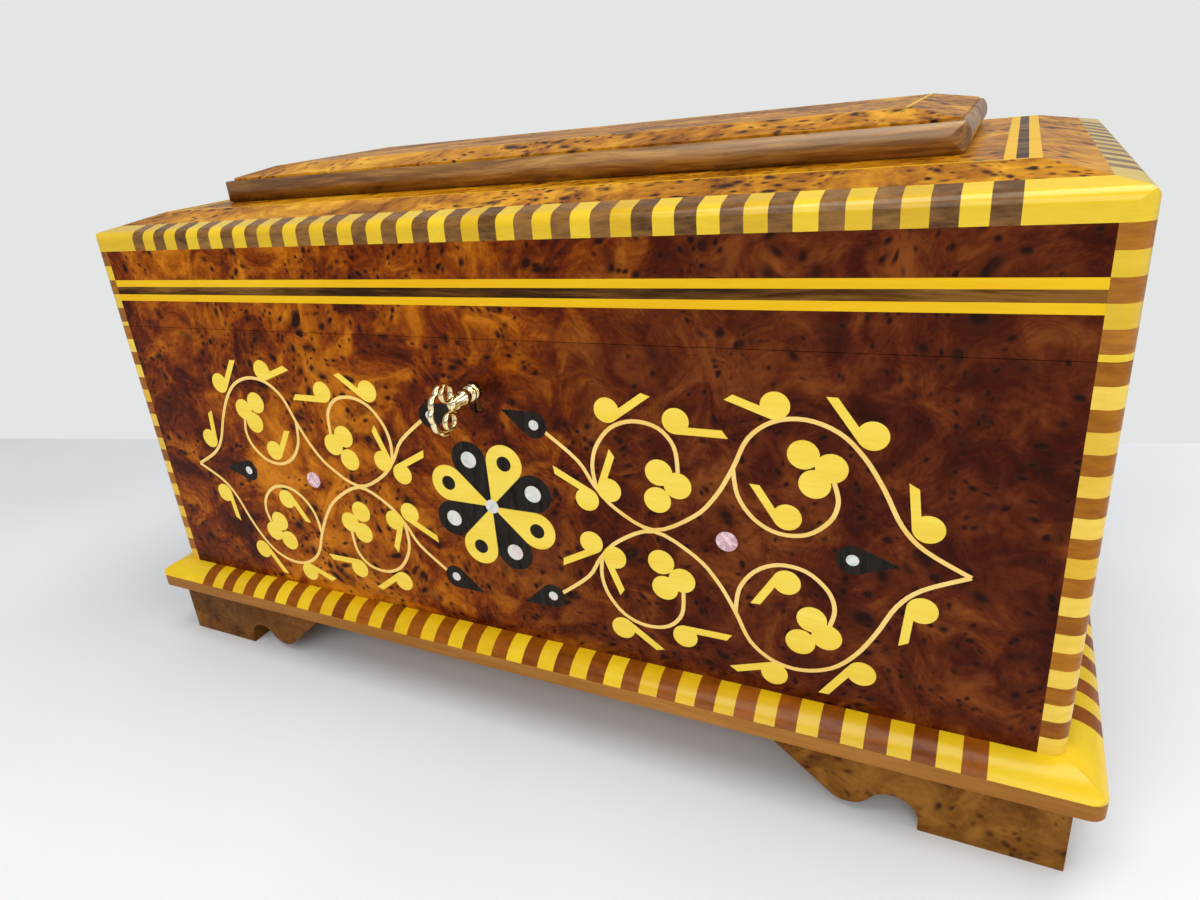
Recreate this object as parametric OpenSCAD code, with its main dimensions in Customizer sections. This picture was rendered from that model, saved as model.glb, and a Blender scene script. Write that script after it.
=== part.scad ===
// Marquetry chest with a wind-up musical movement, a box lock and a hinged lid.
// X runs along the front, -Y is the front, Z is up and the floor is at Z = 0.

/* [Case] */
// Width of the body over its veneers
case_w = 400; // [396:1:404]
// Depth of the body over its veneers
case_d = 212; // [210:1:216]
// Height of the feet
foot_h = 30.5; // [30:0.5:33]
// Thickness of the base board
base_h = 11.8; // [11.4:0.1:12]
// Height of the body from the base to the lid
body_h = 127.9; // [127:0.1:129]
// How far the base sticks out past the body
base_out = 11.3; // [11:0.1:11.5]
// Thickness of each wall with its veneer
wall_t = 12; // [12:0.5:13]
// Thickness of the veneer and of the inlay let into it
veneer_t = 1.5; // [1.4:0.1:1.6]

/* [Lid] */
// Height of the lid's straight sides, up to the banding
lid_side_h = 35.1; // [34:0.1:36]
// Clear gap between the body and the closed lid
seam_gap = 0.2; // [0.15:0.05:0.3]
// Height of the flat part of the lid's top above the banding's lower edge
plateau_h = 13.4; // [13:0.1:14]
// Distance from the lid's side to the edge of the flat part
plateau_in = 24.8; // [24:0.1:26]
// Height of the raised panel above the flat part
panel_h = 13.9; // [13.8:0.1:14.2]

/* [Banding] */
// Width of the corner posts on each face
post_w = 8; // [8:0.5:9]
// Thickness of the banding and of the posts over the boards behind them
block_t = 3; // [2.5:0.5:3.5]
// Number of light blocks along the front
front_lights = 24; // [20:1:26]
// Number of light blocks along each side
side_lights = 10; // [8:1:12]
// Number of blocks in each corner post of the body
post_blocks = 20; // [16:2:24]
// Number of blocks in each corner post of the lid
lid_post_blocks = 5; // [5:2:7]

/* [Movement] */
// Teeth of the crown wheel on the spring barrel
crown_teeth = 48; // [48]
// Teeth of the pinion on the cylinder that the crown wheel drives
cylinder_pinion_teeth = 24; // [24]
// Teeth of the wheel at the other end of the cylinder
cylinder_wheel_teeth = 36; // [36]
// Leaves of the pinion on the governor wheel's shaft
governor_pinion_teeth = 12; // [12]
// Teeth of the governor wheel that turns the single-start worm
governor_wheel_teeth = 16; // [16]
// Number of teeth in the comb
comb_teeth = 30; // [20:1:30]

/* [Hidden] */
$fn = 64;

// A hair over a shared face, so that a cut goes right through
eps = 0.01;

// Colours
burl = "#7a3a14";
dark_burl = "#4a1d0c";
lemonwood = "#f2c53d";
walnut = "#6b3a1c";
oak = "#b98a55";
ebony = "#1d1814";
brass = "#c9a24a";
steel = "#9a9ca0";

// The key sticks out at the front, and the body stands back by half of the difference,
// so that the origin is under the middle of the whole object.
key_reach = 30.3;
case_y = (key_reach - base_out) / 2;

// Heights of the main levels
strip_h = 6;
z_strip = foot_h + strip_h;
z_body = foot_h + base_h;
z_seam = z_body + body_h;
z_lid = z_seam + seam_gap;
z_band = z_seam + lid_side_h;
z_flat = z_band + plateau_h;
z_panel = z_flat + panel_h;
floor_t = 8;
z_floor = z_body + floor_t;

// Half sizes of the body and of its cavity
half_w = case_w / 2;
half_d = case_d / 2;
in_w = half_w - wall_t;
in_d = half_d - wall_t;
corner_r = 5;

// Lid: banding, sloped border and plateau lines, as insets from the lid's side
band_w = 9.4;
sheet_t = 1;
// Light sliver at the foot of each of the lid's posts, where a block was cut by the saw
post_cut = 2;
border_slope = 3.5 / 15.4;
band_round = 4;
line_in = [0, 3.2, 6.3, 9.3] + plateau_in * [1, 1, 1, 1];
edge_line_w = 1.6;
// Lid: the three lines on its sides, as heights above the seam
line_z = [12.4, 15.4, 18.9, 21.95];

// Raised panel: moulding, sloped border and flat top
mould_in = 43.2;
mould_r = 6;
mould_mid = 5.2;
mould_h = 9.6;
mould_w = 12.8;
slope_in = 46.2;
flat_in = 62.5;
panel_sheet = 0.8;
panel_line_w = 1.2;
panel_corner_r = 6;

// Hinges: axis behind the back, and two hinges of five knuckles
hinge_x = 120;
hinge_len = 40;
hinge_y = half_d + 2.9;
hinge_z = z_seam + seam_gap / 2;
knuckle_r = 2.4;
knuckle_n = 5;
hinge_pin_r = 1.2;
leaf_t = 1.2;
leaf_y = half_d - 0.1;
run_gap = 0.05;

// Lock and key
keyhole_z = 150.5;
keyhole_r = 3.1;
slot_w = 3;
slot_low = 141.5;
shank_r = 2.2;
lock_w = 21.8;
lock_y = -in_d;
lock_t = 7.4;
lock_low = 141.2;
plate_t = 1.6;
plate_half = 30;
staple_x = 10;
bolt_z = 163.5;

// Movement compartment at the left, storage well at the right
partition_x = -68;
partition_t = 8;
lining_t = 1.5;

// Movement: the barrel stands upright, and the cylinder lies along X to its left
barrel_x = -92;
barrel_r = 18;
barrel_h = 14.7;
plate_h = 4;
z_plate = z_floor + plate_h;
z_barrel = z_plate + 0.3;
crown_r = 16;
tooth_pitch = 2 * PI * crown_r / crown_teeth;
tooth_add = 0.65;
tooth_ded = 0.85;
z_crown = z_barrel + barrel_h;
pinion_r = cylinder_pinion_teeth * tooth_pitch / (2 * PI);
z_axle = z_crown + tooth_ded + pinion_r;
drum_r = 10;
drum_x = [-159.5, -113.6];
pin_h = 0.8;
axle_r = 1.5;
wheel_m = 0.55;
cylinder_wheel_r = cylinder_wheel_teeth * wheel_m / 2;
governor_pinion_r = governor_pinion_teeth * wheel_m / 2;
governor_y = cylinder_wheel_r + governor_pinion_r;
worm_lead = 2;
governor_wheel_r = governor_wheel_teeth * worm_lead / (2 * PI);
worm_r = 1.7;
worm_throw = 0.45;
worm_x = -173;
worm_y = governor_y + governor_wheel_r + worm_r;
worm_shaft_r = 0.8;
arbor_r = 3;
rod_x = -183;
rod_y = 20;
rod_r = 1;
z_fan = z_plate + 35.7;
z_cover = 128;
comb_tip = drum_r + pin_h + 0.25;
comb_t = 1.5;
comb_pitch = 1.5;
comb_x = (drum_x[0] + drum_x[1]) / 2;

// ---------------------------------------------------------------- helpers

module placed() { translate([0, case_y, 0]) children(); }

// Each quarter of the chest or of the inlay, by mirroring
module four_ways() {
    for (sx = [0, 1], sy = [0, 1]) mirror([sx, 0, 0]) mirror([0, sy, 0]) children();
}

module box(x, y, z) {
    translate([x[0], y[0], z[0]]) cube([x[1] - x[0], y[1] - y[0], z[1] - z[0]]);
}

module x_rod(r, x, y, z) { translate([x[0], y, z]) rotate([0, 90, 0]) cylinder(r = r, h = x[1] - x[0]); }

module y_rod(r, y, x, z) { translate([x, y[1], z]) rotate([90, 0, 0]) cylinder(r = r, h = y[1] - y[0]); }

module z_rod(r, z, x, y) { translate([x, y, z[0]]) cylinder(r = r, h = z[1] - z[0]); }

// Upright block with rounded corners, inset from the body's sides
module rounded_block(inset, z, r) {
    w = half_w - inset;
    d = half_d - inset;
    box([-w + r, w - r], [-d, d], z);
    box([-w, w], [-d + r, d - r], z);
    four_ways() z_rod(r, z, w - r, d - r);
}

// The child is half of a cross-section, drawn as inset and height. It runs round all four
// sides with mitred corners, and everything inside it is filled.
module mitred(z, reach = 20) {
    intersection() {
        mitred_pair(half_d, half_w + reach, z) children();
        rotate([0, 0, 90]) mitred_pair(half_w, half_d + reach, z) children();
    }
}

module mitred_pair(half, run, z) {
    middle = half - 70;
    for (side = [0, 1]) mirror([0, side, 0])
        translate([-run, -half, 0]) rotate([90, 0, 90]) linear_extrude(2 * run) children();
    box([-run, run], [-middle, middle], z);
}

// Ring between two insets
module ring(inset, z) {
    difference() {
        box([-half_w + inset[0], half_w - inset[0]], [-half_d + inset[0], half_d - inset[0]], z);
        box([-half_w + inset[1], half_w - inset[1]], [-half_d + inset[1], half_d - inset[1]],
            [z[0] - 1, z[1] + 1]);
    }
}

// Cutters for every second block along a run: which = 0 keeps the dark ones, 1 the light ones
module run_cutter(half_run, lights, which, reach, z) {
    blocks = 2 * lights + 1;
    w = 2 * half_run / blocks;
    for (i = [which : 2 : blocks - 1])
        box([-half_run + i * w, -half_run + (i + 1) * w], [-reach, reach], z);
}

// All light or all dark blocks of a banding ring; the corner blocks are light
module ring_cutter(which, corner_x, corner_y, z) {
    far = half_w + 40;
    intersection() {
        run_cutter(corner_x, front_lights, which, far, z);
        difference() {
            box([-far, far], [-far, far], z);
            box([-far, far], [-corner_y, corner_y], [z[0] - 1, z[1] + 1]);
        }
    }
    intersection() {
        rotate([0, 0, 90]) run_cutter(corner_y, side_lights, which, far, z);
        difference() {
            box([-far, far], [-far, far], z);
            box([-corner_x, corner_x], [-far, far], [z[0] - 1, z[1] + 1]);
        }
    }
    if (which == 1) four_ways() box([corner_x, far], [corner_y, far], z);
}

// Blocks of the four corner posts between two heights; the top block is dark
module post_row(z, blocks, which) {
    h = (z[1] - z[0]) / blocks;
    for (i = [which : 2 : blocks - 1]) {
        top = z[1] - i * h;
        intersection() {
            rounded_block(0, [top - h, top], corner_r);
            four_ways() difference() {
                box([half_w - post_w, half_w], [half_d - post_w, half_d], [top - h, top]);
                box([half_w - post_w - 1, half_w - block_t], [half_d - post_w - 1, half_d - block_t],
                    [top - h - 1, top + 1]);
            }
        }
    }
}

// Sheet on the front or back face between the corner posts, and on both side faces
module face_sheet(side, z) {
    w = half_w - post_w;
    d = half_d - post_w;
    if (side == "front") box([-w, w], [-half_d, -half_d + veneer_t], z);
    if (side == "back") box([-w, w], [half_d - veneer_t, half_d], z);
    if (side == "sides")
        for (m = [0, 1]) mirror([m, 0, 0]) box([half_w - veneer_t, half_w], [-d, d], z);
}

// Board of one wall. Front and back boards run through to the corner posts, and side boards
// are rebated over their ends.
module long_board(z) {
    box([-half_w + post_w, half_w - post_w], [-half_d + veneer_t, -in_d], z);
    box([-half_w + block_t, half_w - block_t], [-half_d + block_t, -half_d + post_w], z);
}

module short_board(z) {
    box([in_w, half_w - veneer_t], [-in_d, in_d], z);
    box([half_w - post_w, half_w - veneer_t], [-half_d + post_w, half_d - post_w], z);
}

// A screw with a flat head, pointing down from its head's top
module screw(r = 1.2, head_r = 2.2, head_h = 0.8, length = 9, slack = 0) {
    translate([0, 0, -head_h]) cylinder(r = head_r + slack, h = head_h + slack);
    translate([0, 0, -length]) cylinder(r = r + slack, h = length);
}

// ---------------------------------------------------------------- base and feet

// Outline of the banding round the base: an arc from the body's foot down to the edge
module base_profile() {
    r = 13.9;
    intersection() {
        translate([base_out, base_h - r]) circle(r = r, $fn = 96);
        translate([0, strip_h]) square([base_out, base_h - strip_h]);
    }
    translate([base_out - eps, strip_h]) square([80 - base_out, base_h - strip_h]);
}

module base_solid() {
    intersection() {
        translate([0, 0, foot_h]) base_mitred();
        rounded_block(-base_out, [z_strip, z_body], corner_r);
    }
}

module base_mitred() {
    wide = half_w + base_out;
    deep = half_d + base_out;
    intersection() {
        base_pair(deep, wide + 5);
        rotate([0, 0, 90]) base_pair(wide, deep + 5);
    }
}

module base_pair(half, run) {
    for (side = [0, 1]) mirror([0, side, 0])
        translate([-run, -half, 0]) rotate([90, 0, 90]) linear_extrude(2 * run) base_profile();
    box([-run, run], [-half + 70, half - 70], [strip_h, base_h]);
}

banding_in = 4.7;

module base_ring(which) {
    intersection() {
        difference() {
            base_solid();
            box([-half_w + banding_in, half_w - banding_in], [-half_d + banding_in, half_d - banding_in],
                [z_strip - 1, z_body + 1]);
        }
        ring_cutter(which, 179, 85.3, [z_strip, z_body]);
    }
}

module base_board() color(oak) placed() {
    difference() {
        union() {
            rounded_block(-base_out, [foot_h, z_strip], corner_r);
            box([-half_w + banding_in, half_w - banding_in], [-half_d + banding_in, half_d - banding_in],
                [z_strip - eps, z_body]);
        }
        z_rod(5, [foot_h - 1, z_body + 1], barrel_x, 0);
    }
}

// Bracket foot, seen from one side. The corner is at zero, a cove and a lobe follow the flat,
// and a straight slope runs up to the base.
cove_r = 8.74;
lobe_r = 8.9;

module foot_outline(flat) {
    cove = [flat + cove_r, 3.6];
    lobe = [flat + 23.5, 13.2];
    slope_start = lobe + lobe_r * [0.643, -0.766];
    difference() {
        polygon([[0, 0], [flat, 0], [flat, cove[1]], cove, lobe, slope_start,
                 [flat + 58, foot_h], [0, foot_h]]);
        translate(cove) circle(r = cove_r);
    }
    translate(lobe) circle(r = lobe_r);
}

module foot() {
    foot_in = 7.6 - base_out;
    foot_t = 12;
    translate([-half_w + foot_in, -half_d + foot_in, 0]) {
        translate([0, foot_t, 0]) rotate([90, 0, 0]) linear_extrude(foot_t) foot_outline(43.2);
        translate([0, 0, 0]) rotate([90, 0, 90]) linear_extrude(foot_t) foot_outline(24);
    }
}

module foot_front_left() color(burl) placed() foot();
module foot_front_right() color(burl) placed() mirror([1, 0, 0]) foot();
module foot_back_left() color(burl) placed() mirror([0, 1, 0]) foot();
module foot_back_right() color(burl) placed() mirror([1, 0, 0]) mirror([0, 1, 0]) foot();

// ---------------------------------------------------------------- body

// Keyhole: a round hole with a slot below it
module keyhole(r, y) {
    y_rod(r, y, 0, keyhole_z);
    box([-slot_w / 2, slot_w / 2], y, [slot_low, keyhole_z]);
}

module front_board() color(oak) placed() {
    difference() {
        long_board([z_body, z_seam]);
        box([-lock_w - 0.2, lock_w + 0.2], [lock_y - lock_t - 0.1, lock_y + 1], [lock_low - 0.2, z_seam + 1]);
        box([-plate_half - 0.1, plate_half + 0.1], [lock_y - 9.1, lock_y + 1],
            [z_seam - plate_t - 0.1, z_seam + 1]);
        keyhole(keyhole_r, [-half_d - 1, lock_y]);
        face_plate_screws(0.03);
    }
}

module back_board() color(oak) placed() {
    difference() {
        mirror([0, 1, 0]) long_board([z_body, z_seam]);
        case_leaf_recess();
        hinge_screws(0, 0.03);
    }
}

module right_board() color(oak) placed() short_board([z_body, z_seam]);
module left_board() color(oak) placed() mirror([1, 0, 0]) short_board([z_body, z_seam]);

module bottom_board() color(oak) placed() {
    difference() {
        box([-in_w, in_w], [-in_d, in_d], [z_body, z_floor]);
        z_rod(5, [z_body - 1, z_floor + 1], barrel_x, 0);
        bedplate_screws(0.03);
    }
}

module case_veneers() color(burl) placed() {
    face_sheet("sides", [z_body, z_seam]);
    difference() {
        face_sheet("back", [z_body, z_seam]);
        case_leaf_recess();
    }
}

module case_banding_light() color(lemonwood) placed() {
    base_ring(1);
    post_row([z_body, z_seam], post_blocks, 1);
}

module case_banding_dark() color(walnut) placed() {
    base_ring(0);
    post_row([z_body, z_seam], post_blocks, 0);
}

// ---------------------------------------------------------------- inlay of the front

inlay_z = 101.5;
vine_w = 1.5;
leaf_r = 4.7;
leaf_tail_w = 2.8;
leaf_cut = 2;
trefoil_r = 5;
petal_r = 7.95;
petal_reach = 21;

// One quarter of the inlay, as distances right of and above its centre
main_vine = [
    [27, 35], [40, 24.5], [46, 15], [54, 6.5], [68, 0.3], [83, 8], [91, 17], [97, 28], [102, 39],
    [110, 45.5], [120, 47], [130, 43.5], [137.5, 36], [143.5, 26], [149, 14.5], [156, 7], [169, 0]
];
inner_vine = [[97, 28], [98.5, 18], [104, 10], [112, 6], [121, 7], [128, 13], [130.3, 20], [128.8, 27]];
loop_vine = [[46.5, 15], [45.8, 23], [48, 31], [54, 38.5], [62.5, 41.7], [71.5, 40], [77, 33.5], [78, 24]];
// Each leaf is its head's middle, its tip, and the side of its head that the tail runs along:
// 1 is left and -1 is right, as seen from the head towards the tip
leaves = [
    [[53, 45], [69.4, 51.1], -1], [[77.9, 43], [95.6, 38.3], -1], [[110.6, 50.9], [94.5, 51.8], 1],
    [[139.5, 43.4], [125.8, 54.9], 1], [[156.4, 14.5], [150.2, 29.2], 1], [[51.6, 14], [52.8, 30.3], 1],
    [[42.5, 9.1], [29.5, 21.4], -1], [[114.6, 12.4], [102.3, 23.1], 1]
];
trefoils = [[[70, 12.6], [77.6, 19], [71, 23.3]], [[123, 25.4], [128, 31.4], [119.4, 35.2]]];
drop_head = [23.3, 36.8];
drop_tail = [9.8, 42.2];
end_drop_head = [135.2, 0];
end_drop_tail = [149.5, 0];
drop_r = 5.3;
side_pearl_x = 94.4;

// Smooth curve through a list of points
function mix_points(a, b, c, d, t) =
    0.5 * ((2 * b) + (c - a) * t + (2 * a - 5 * b + 4 * c - d) * t * t + (3 * b - a - 3 * c + d) * t * t * t);
function curve(p, steps = 4) = concat(
    [for (i = [0 : len(p) - 2], s = [0 : steps - 1])
        mix_points(p[max(i - 1, 0)], p[i], p[i + 1], p[min(i + 2, len(p) - 1)], s / steps)],
    [p[len(p) - 1]]);
function side_step(p, i, w) =
    let (d = p[min(i + 1, len(p) - 1)] - p[max(i - 1, 0)], n = [-d[1], d[0]] / norm(d)) p[i] + n * w;

// Drawing in the plane of the front: x to the right, y up, cut to the veneer's depth
module on_front(extra = 0) {
    translate([0, -half_d + veneer_t, inlay_z]) rotate([90, 0, 0])
        translate([0, 0, -extra]) linear_extrude(veneer_t + 2 * extra) children();
}

module stroke(points) {
    p = curve(points);
    n = len(p) - 1;
    polygon(concat([for (i = [0 : n]) side_step(p, i, vine_w / 2)],
                   [for (i = [n : -1 : 0]) side_step(p, i, -vine_w / 2)]));
}

// A round head with a straight tail that touches it on one side, cut off slanting to a point.
// The tail's outer edge leaves the head as a tangent, so its slope follows from the head's radius.
module leaf(head, tip, hand) {
    reach = norm(tip - head);
    turn = atan2(tip[1] - head[1], tip[0] - head[0]) - hand * asin(leaf_r / reach);
    way = [cos(turn), sin(turn)];
    out = hand * [-sin(turn), cos(turn)];
    foot = tip - way * sqrt(reach ^ 2 - leaf_r ^ 2);
    translate(head) circle(r = leaf_r);
    polygon([foot, foot - out * leaf_tail_w, tip - out * leaf_tail_w - way * leaf_cut, tip]);
}

// A round head that tapers to a point
module drop(head, tail, r) {
    d = norm(tail - head);
    way = atan2(head[1] - tail[1], head[0] - tail[0]);
    half = asin(r / d);
    reach = d * cos(half);
    translate(head) circle(r = r);
    polygon([tail, tail + reach * [cos(way - half), sin(way - half)], head,
             tail + reach * [cos(way + half), sin(way + half)]]);
}

module petal(turn) {
    head = petal_reach * [sin(turn), cos(turn)];
    drop(head, [0, 0], petal_r);
}

module quarter_drops() {
    drop(drop_head, drop_tail, drop_r);
}

module end_drops() {
    for (m = [0, 1]) mirror([m, 0, 0]) drop(end_drop_head, end_drop_tail, drop_r);
}

module dot(x, y, r) { translate([x, y]) circle(r = r); }

module vines_all(extra = 0) {
    for (points = [main_vine, inner_vine, loop_vine])
        for (sx = [0, 1], sy = [0, 1])
            on_front(extra) mirror([sx, 0]) mirror([0, sy]) stroke(points);
}

module leaves_all(extra = 0) {
    for (sx = [0, 1], sy = [0, 1]) {
        for (l = leaves) on_front(extra) mirror([sx, 0]) mirror([0, sy]) leaf(l[0], l[1], l[2]);
        for (t = trefoils, c = t) on_front(extra) mirror([sx, 0]) mirror([0, sy]) dot(c[0], c[1], trefoil_r);
    }
}

module drops_all(extra = 0) {
    for (sx = [0, 1], sy = [0, 1])
        on_front(extra) mirror([sx, 0]) mirror([0, sy]) quarter_drops();
    on_front(extra) end_drops();
}

module petals_all(first, extra = 0) {
    for (turn = [first : 90 : 359]) on_front(extra) petal(turn);
}

light_dot_r = 3.15;
dark_dot_r = 3.5;
centre_dot_r = 3;
drop_dot_r = 2;
side_dot_r = 3.8;
light_turn = 22.5;
dark_turn = 67.5;

module centre_dot(extra = 0) { on_front(extra) circle(r = centre_dot_r); }

module petal_dots(first, r, extra = 0) {
    for (turn = [first : 90 : 359])
        on_front(extra) dot(petal_reach * sin(turn), petal_reach * cos(turn), r);
}

module drop_dots(extra = 0) {
    for (sx = [0, 1], sy = [0, 1])
        on_front(extra) mirror([sx, 0]) mirror([0, sy]) dot(drop_head[0], drop_head[1], drop_dot_r);
    for (m = [0, 1]) on_front(extra) mirror([m, 0]) dot(end_drop_head[0], end_drop_head[1], drop_dot_r);
}

module side_dots(extra = 0) {
    for (m = [0, 1]) on_front(extra) mirror([m, 0]) dot(side_pearl_x, 0, side_dot_r);
}

module vine_inlay() color(lemonwood) placed() {
    difference() {
        vines_all();
        leaves_all(1);
        drops_all(1);
    }
}

module leaf_inlay() color(lemonwood) placed() leaves_all();

module light_petals() color(lemonwood) placed() {
    difference() {
        petals_all(light_turn);
        petal_dots(light_turn, light_dot_r, 1);
        centre_dot(1);
    }
}

module ebony_inlay() color(ebony) placed() {
    difference() {
        union() {
            petals_all(dark_turn);
            drops_all();
        }
        petal_dots(dark_turn, dark_dot_r, 1);
        drop_dots(1);
        centre_dot(1);
    }
    petal_dots(light_turn, light_dot_r);
}

module pearl_dots() color("white") placed() {
    petal_dots(dark_turn, dark_dot_r);
    drop_dots();
    side_dots();
    centre_dot();
}

// One recess for all the petals, so that no sliver is left between two of them
module rosette_pocket() {
    on_front(1) {
        circle(r = petal_reach - 1);
        for (turn = [light_turn : 45 : 359])
            dot(petal_reach * sin(turn), petal_reach * cos(turn), petal_r);
    }
}

module front_veneer() color(dark_burl) placed() {
    difference() {
        face_sheet("front", [z_body, z_seam]);
        vines_all(1);
        leaves_all(1);
        drops_all(1);
        side_dots(1);
        rosette_pocket();
        keyhole(keyhole_r, [-half_d - 1, lock_y]);
    }
}

// ---------------------------------------------------------------- lock and key

lock_front = lock_y - lock_t;
lock_top = z_seam - plate_t - 0.1;

module lock_case() color(brass) placed() {
    difference() {
        box([-lock_w, lock_w], [lock_front, lock_y], [lock_low, lock_top - 0.1]);
        box([-lock_w + 1, lock_w - 1], [lock_front + 1, lock_y - 1], [lock_low + 1, z_seam]);
        keyhole(shank_r + run_gap, [lock_front - 1, lock_front + 1.5]);
    }
}

module face_plate_screws(slack = 0) {
    for (s = [-1, 1])
        translate([26 * s, lock_y - 4.5, z_seam - 0.1]) screw(slack = slack, length = 11);
}

module lock_face_plate() color(brass) placed() {
    difference() {
        box([-plate_half, plate_half], [lock_y - 9, lock_y], [z_seam - plate_t, z_seam - 0.1]);
        for (s = [-1, 1])
            box([staple_x * s - 1.6, staple_x * s + 1.6], [lock_y - 6.8, lock_y - 0.8],
                [z_seam - 3, z_seam + 1]);
        face_plate_screws(0.02);
    }
}

// Staples hang from the strike plate, and the bolt slides through their eyes
module strike_plate() color(brass) placed() {
    difference() {
        union() {
            box([-plate_half, plate_half], [lock_y - 9, lock_y], [z_lid, z_lid + plate_t]);
            for (s = [-1, 1])
                box([staple_x * s - 1, staple_x * s + 1], [lock_y - 6.2, lock_y - 1.2],
                    [bolt_z - 2, z_lid + eps]);
        }
        for (s = [-1, 1])
            box([staple_x * s - 2, staple_x * s + 2], [lock_y - 5, lock_y - 2.4],
                [bolt_z - 0.5, bolt_z + 3.1]);
        strike_screws(0.02);
    }
}

module lock_bolt() color(brass) placed() {
    y = [lock_y - 4.7, lock_y - 2.7];
    high = [bolt_z, bolt_z + 2.6];
    low = [bolt_z - 5, bolt_z - 2.3];
    box([-20, 3], y, low);
    box([-20, -17], y, [low[0], high[1]]);
    box([0, 3], y, [low[0], high[1]]);
    box([-20, -staple_x - 1.8], y, high);
    box([0, staple_x - 1.8], y, high);
}

// Key: shank, two turned collars, a bit, and an open bow. A scalloped crescent closes the
// bow's far side, with one ring at the shank and one at each end of the crescent.
bow_r = 10;
bow_in = 8.2;
scallop_r = 3.4;
scallop_turn = 36;
bow_ring_r = 3.7;
bow_hole_r = 2.2;
bow_rings_at = [[-6.2, 0], [-1.6, 5.3], [-1.6, -5.3]];
bow_t = 2.4;

// Outline of the bow with the far side towards +X, and its rings' holes
module bow_outline() {
    difference() {
        union() {
            difference() {
                for (i = [-2 : 2])
                    rotate(i * scallop_turn) translate([bow_r - scallop_r, 0]) circle(r = scallop_r);
                circle(r = bow_in);
            }
            for (at = bow_rings_at) translate(at) circle(r = bow_ring_r);
        }
        for (at = bow_rings_at) translate(at) circle(r = bow_hole_r);
    }
}

module lock_key() color(brass) placed() {
    bow_y = -half_d - key_reach + bow_r;
    y_rod(shank_r, [bow_y - bow_rings_at[0][0] + bow_hole_r + 0.7, lock_y - 1.3], 0, keyhole_z);
    box([-1, 1], [lock_y - 5.5, lock_y - 2.5], [keyhole_z - 6.5, keyhole_z]);
    for (c = [[-3.2, 3.3], [-8, 3]]) {
        y_rod(c[1], [-half_d + c[0] - 1, -half_d + c[0] + 1], 0, keyhole_z);
        translate([0, -half_d + c[0], keyhole_z]) sphere(r = c[1] - 0.2);
    }
    translate([-bow_t / 2, bow_y, keyhole_z]) rotate([90, 0, 90]) linear_extrude(bow_t)
        mirror([1, 0]) bow_outline();
}

// ---------------------------------------------------------------- hinges and screws

knuckle_len = hinge_len / knuckle_n;

module knuckles(first, bore_r) {
    for (s = [-1, 1], i = [first : 2 : knuckle_n - 1]) {
        x = hinge_x * s - hinge_len / 2 + i * knuckle_len;
        difference() {
            x_rod(knuckle_r, [x + 0.1, x + knuckle_len - 0.1], hinge_y, hinge_z);
            x_rod(bore_r, [x - 1, x + knuckle_len + 1], hinge_y, hinge_z);
        }
    }
}

// One plate of each hinge, with a tongue to every one of its knuckles
module leaf_plates(first, z) {
    for (s = [-1, 1]) {
        box([hinge_x * s - hinge_len / 2, hinge_x * s + hinge_len / 2], [in_d + 0.5, leaf_y], z);
        for (i = [first : 2 : knuckle_n - 1]) {
            x = hinge_x * s - hinge_len / 2 + i * knuckle_len;
            difference() {
                box([x + 0.1, x + knuckle_len - 0.1], [leaf_y - eps, hinge_y], z);
                x_rod(knuckle_r - 0.5, [x - 1, x + knuckle_len + 1], hinge_y, hinge_z);
            }
        }
    }
}

// Screws of both hinges: side 0 goes down into the body, side 1 up into the lid
module hinge_screws(side, slack = 0) {
    z = side == 0 ? z_seam - 0.1 : z_lid + 0.1;
    for (s = [-1, 1], x = [-13, 0, 13])
        translate([hinge_x * s + x, in_d + 6, z]) rotate([180 * side, 0, 0]) screw(slack = slack);
}

case_leaf_z = [z_seam - leaf_t - 0.1, z_seam - 0.1];
lid_leaf_z = [z_lid + 0.1, z_lid + leaf_t + 0.1];

module case_leaf_recess() {
    for (s = [-1, 1])
        box([hinge_x * s - hinge_len / 2 - 0.1, hinge_x * s + hinge_len / 2 + 0.1], [in_d + 0.4, half_d + 1],
            [case_leaf_z[0] - 0.05, z_seam + 1]);
}

module lid_leaf_recess() {
    for (s = [-1, 1])
        box([hinge_x * s - hinge_len / 2 - 0.1, hinge_x * s + hinge_len / 2 + 0.1], [in_d + 0.4, half_d + 1],
            [z_lid - 1, lid_leaf_z[1] + 0.05]);
}

module hinge_case_leaves() color(brass) placed() {
    knuckles(0, hinge_pin_r);
    difference() {
        leaf_plates(0, case_leaf_z);
        hinge_screws(0, 0.02);
    }
}

module hinge_lid_leaves() color(brass) placed() {
    knuckles(1, hinge_pin_r + run_gap);
    difference() {
        leaf_plates(1, lid_leaf_z);
        hinge_screws(1, 0.02);
    }
}

module hinge_pins() color(steel) placed() {
    for (s = [-1, 1])
        x_rod(hinge_pin_r, [hinge_x * s - hinge_len / 2, hinge_x * s + hinge_len / 2], hinge_y, hinge_z);
}

module case_screws() color(brass) placed() {
    hinge_screws(0);
    face_plate_screws();
}

// ---------------------------------------------------------------- inside the body

module partition_board() color(oak) placed() {
    box([partition_x, partition_x + partition_t], [-in_d, in_d], [z_floor, z_seam - 6]);
}

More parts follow.
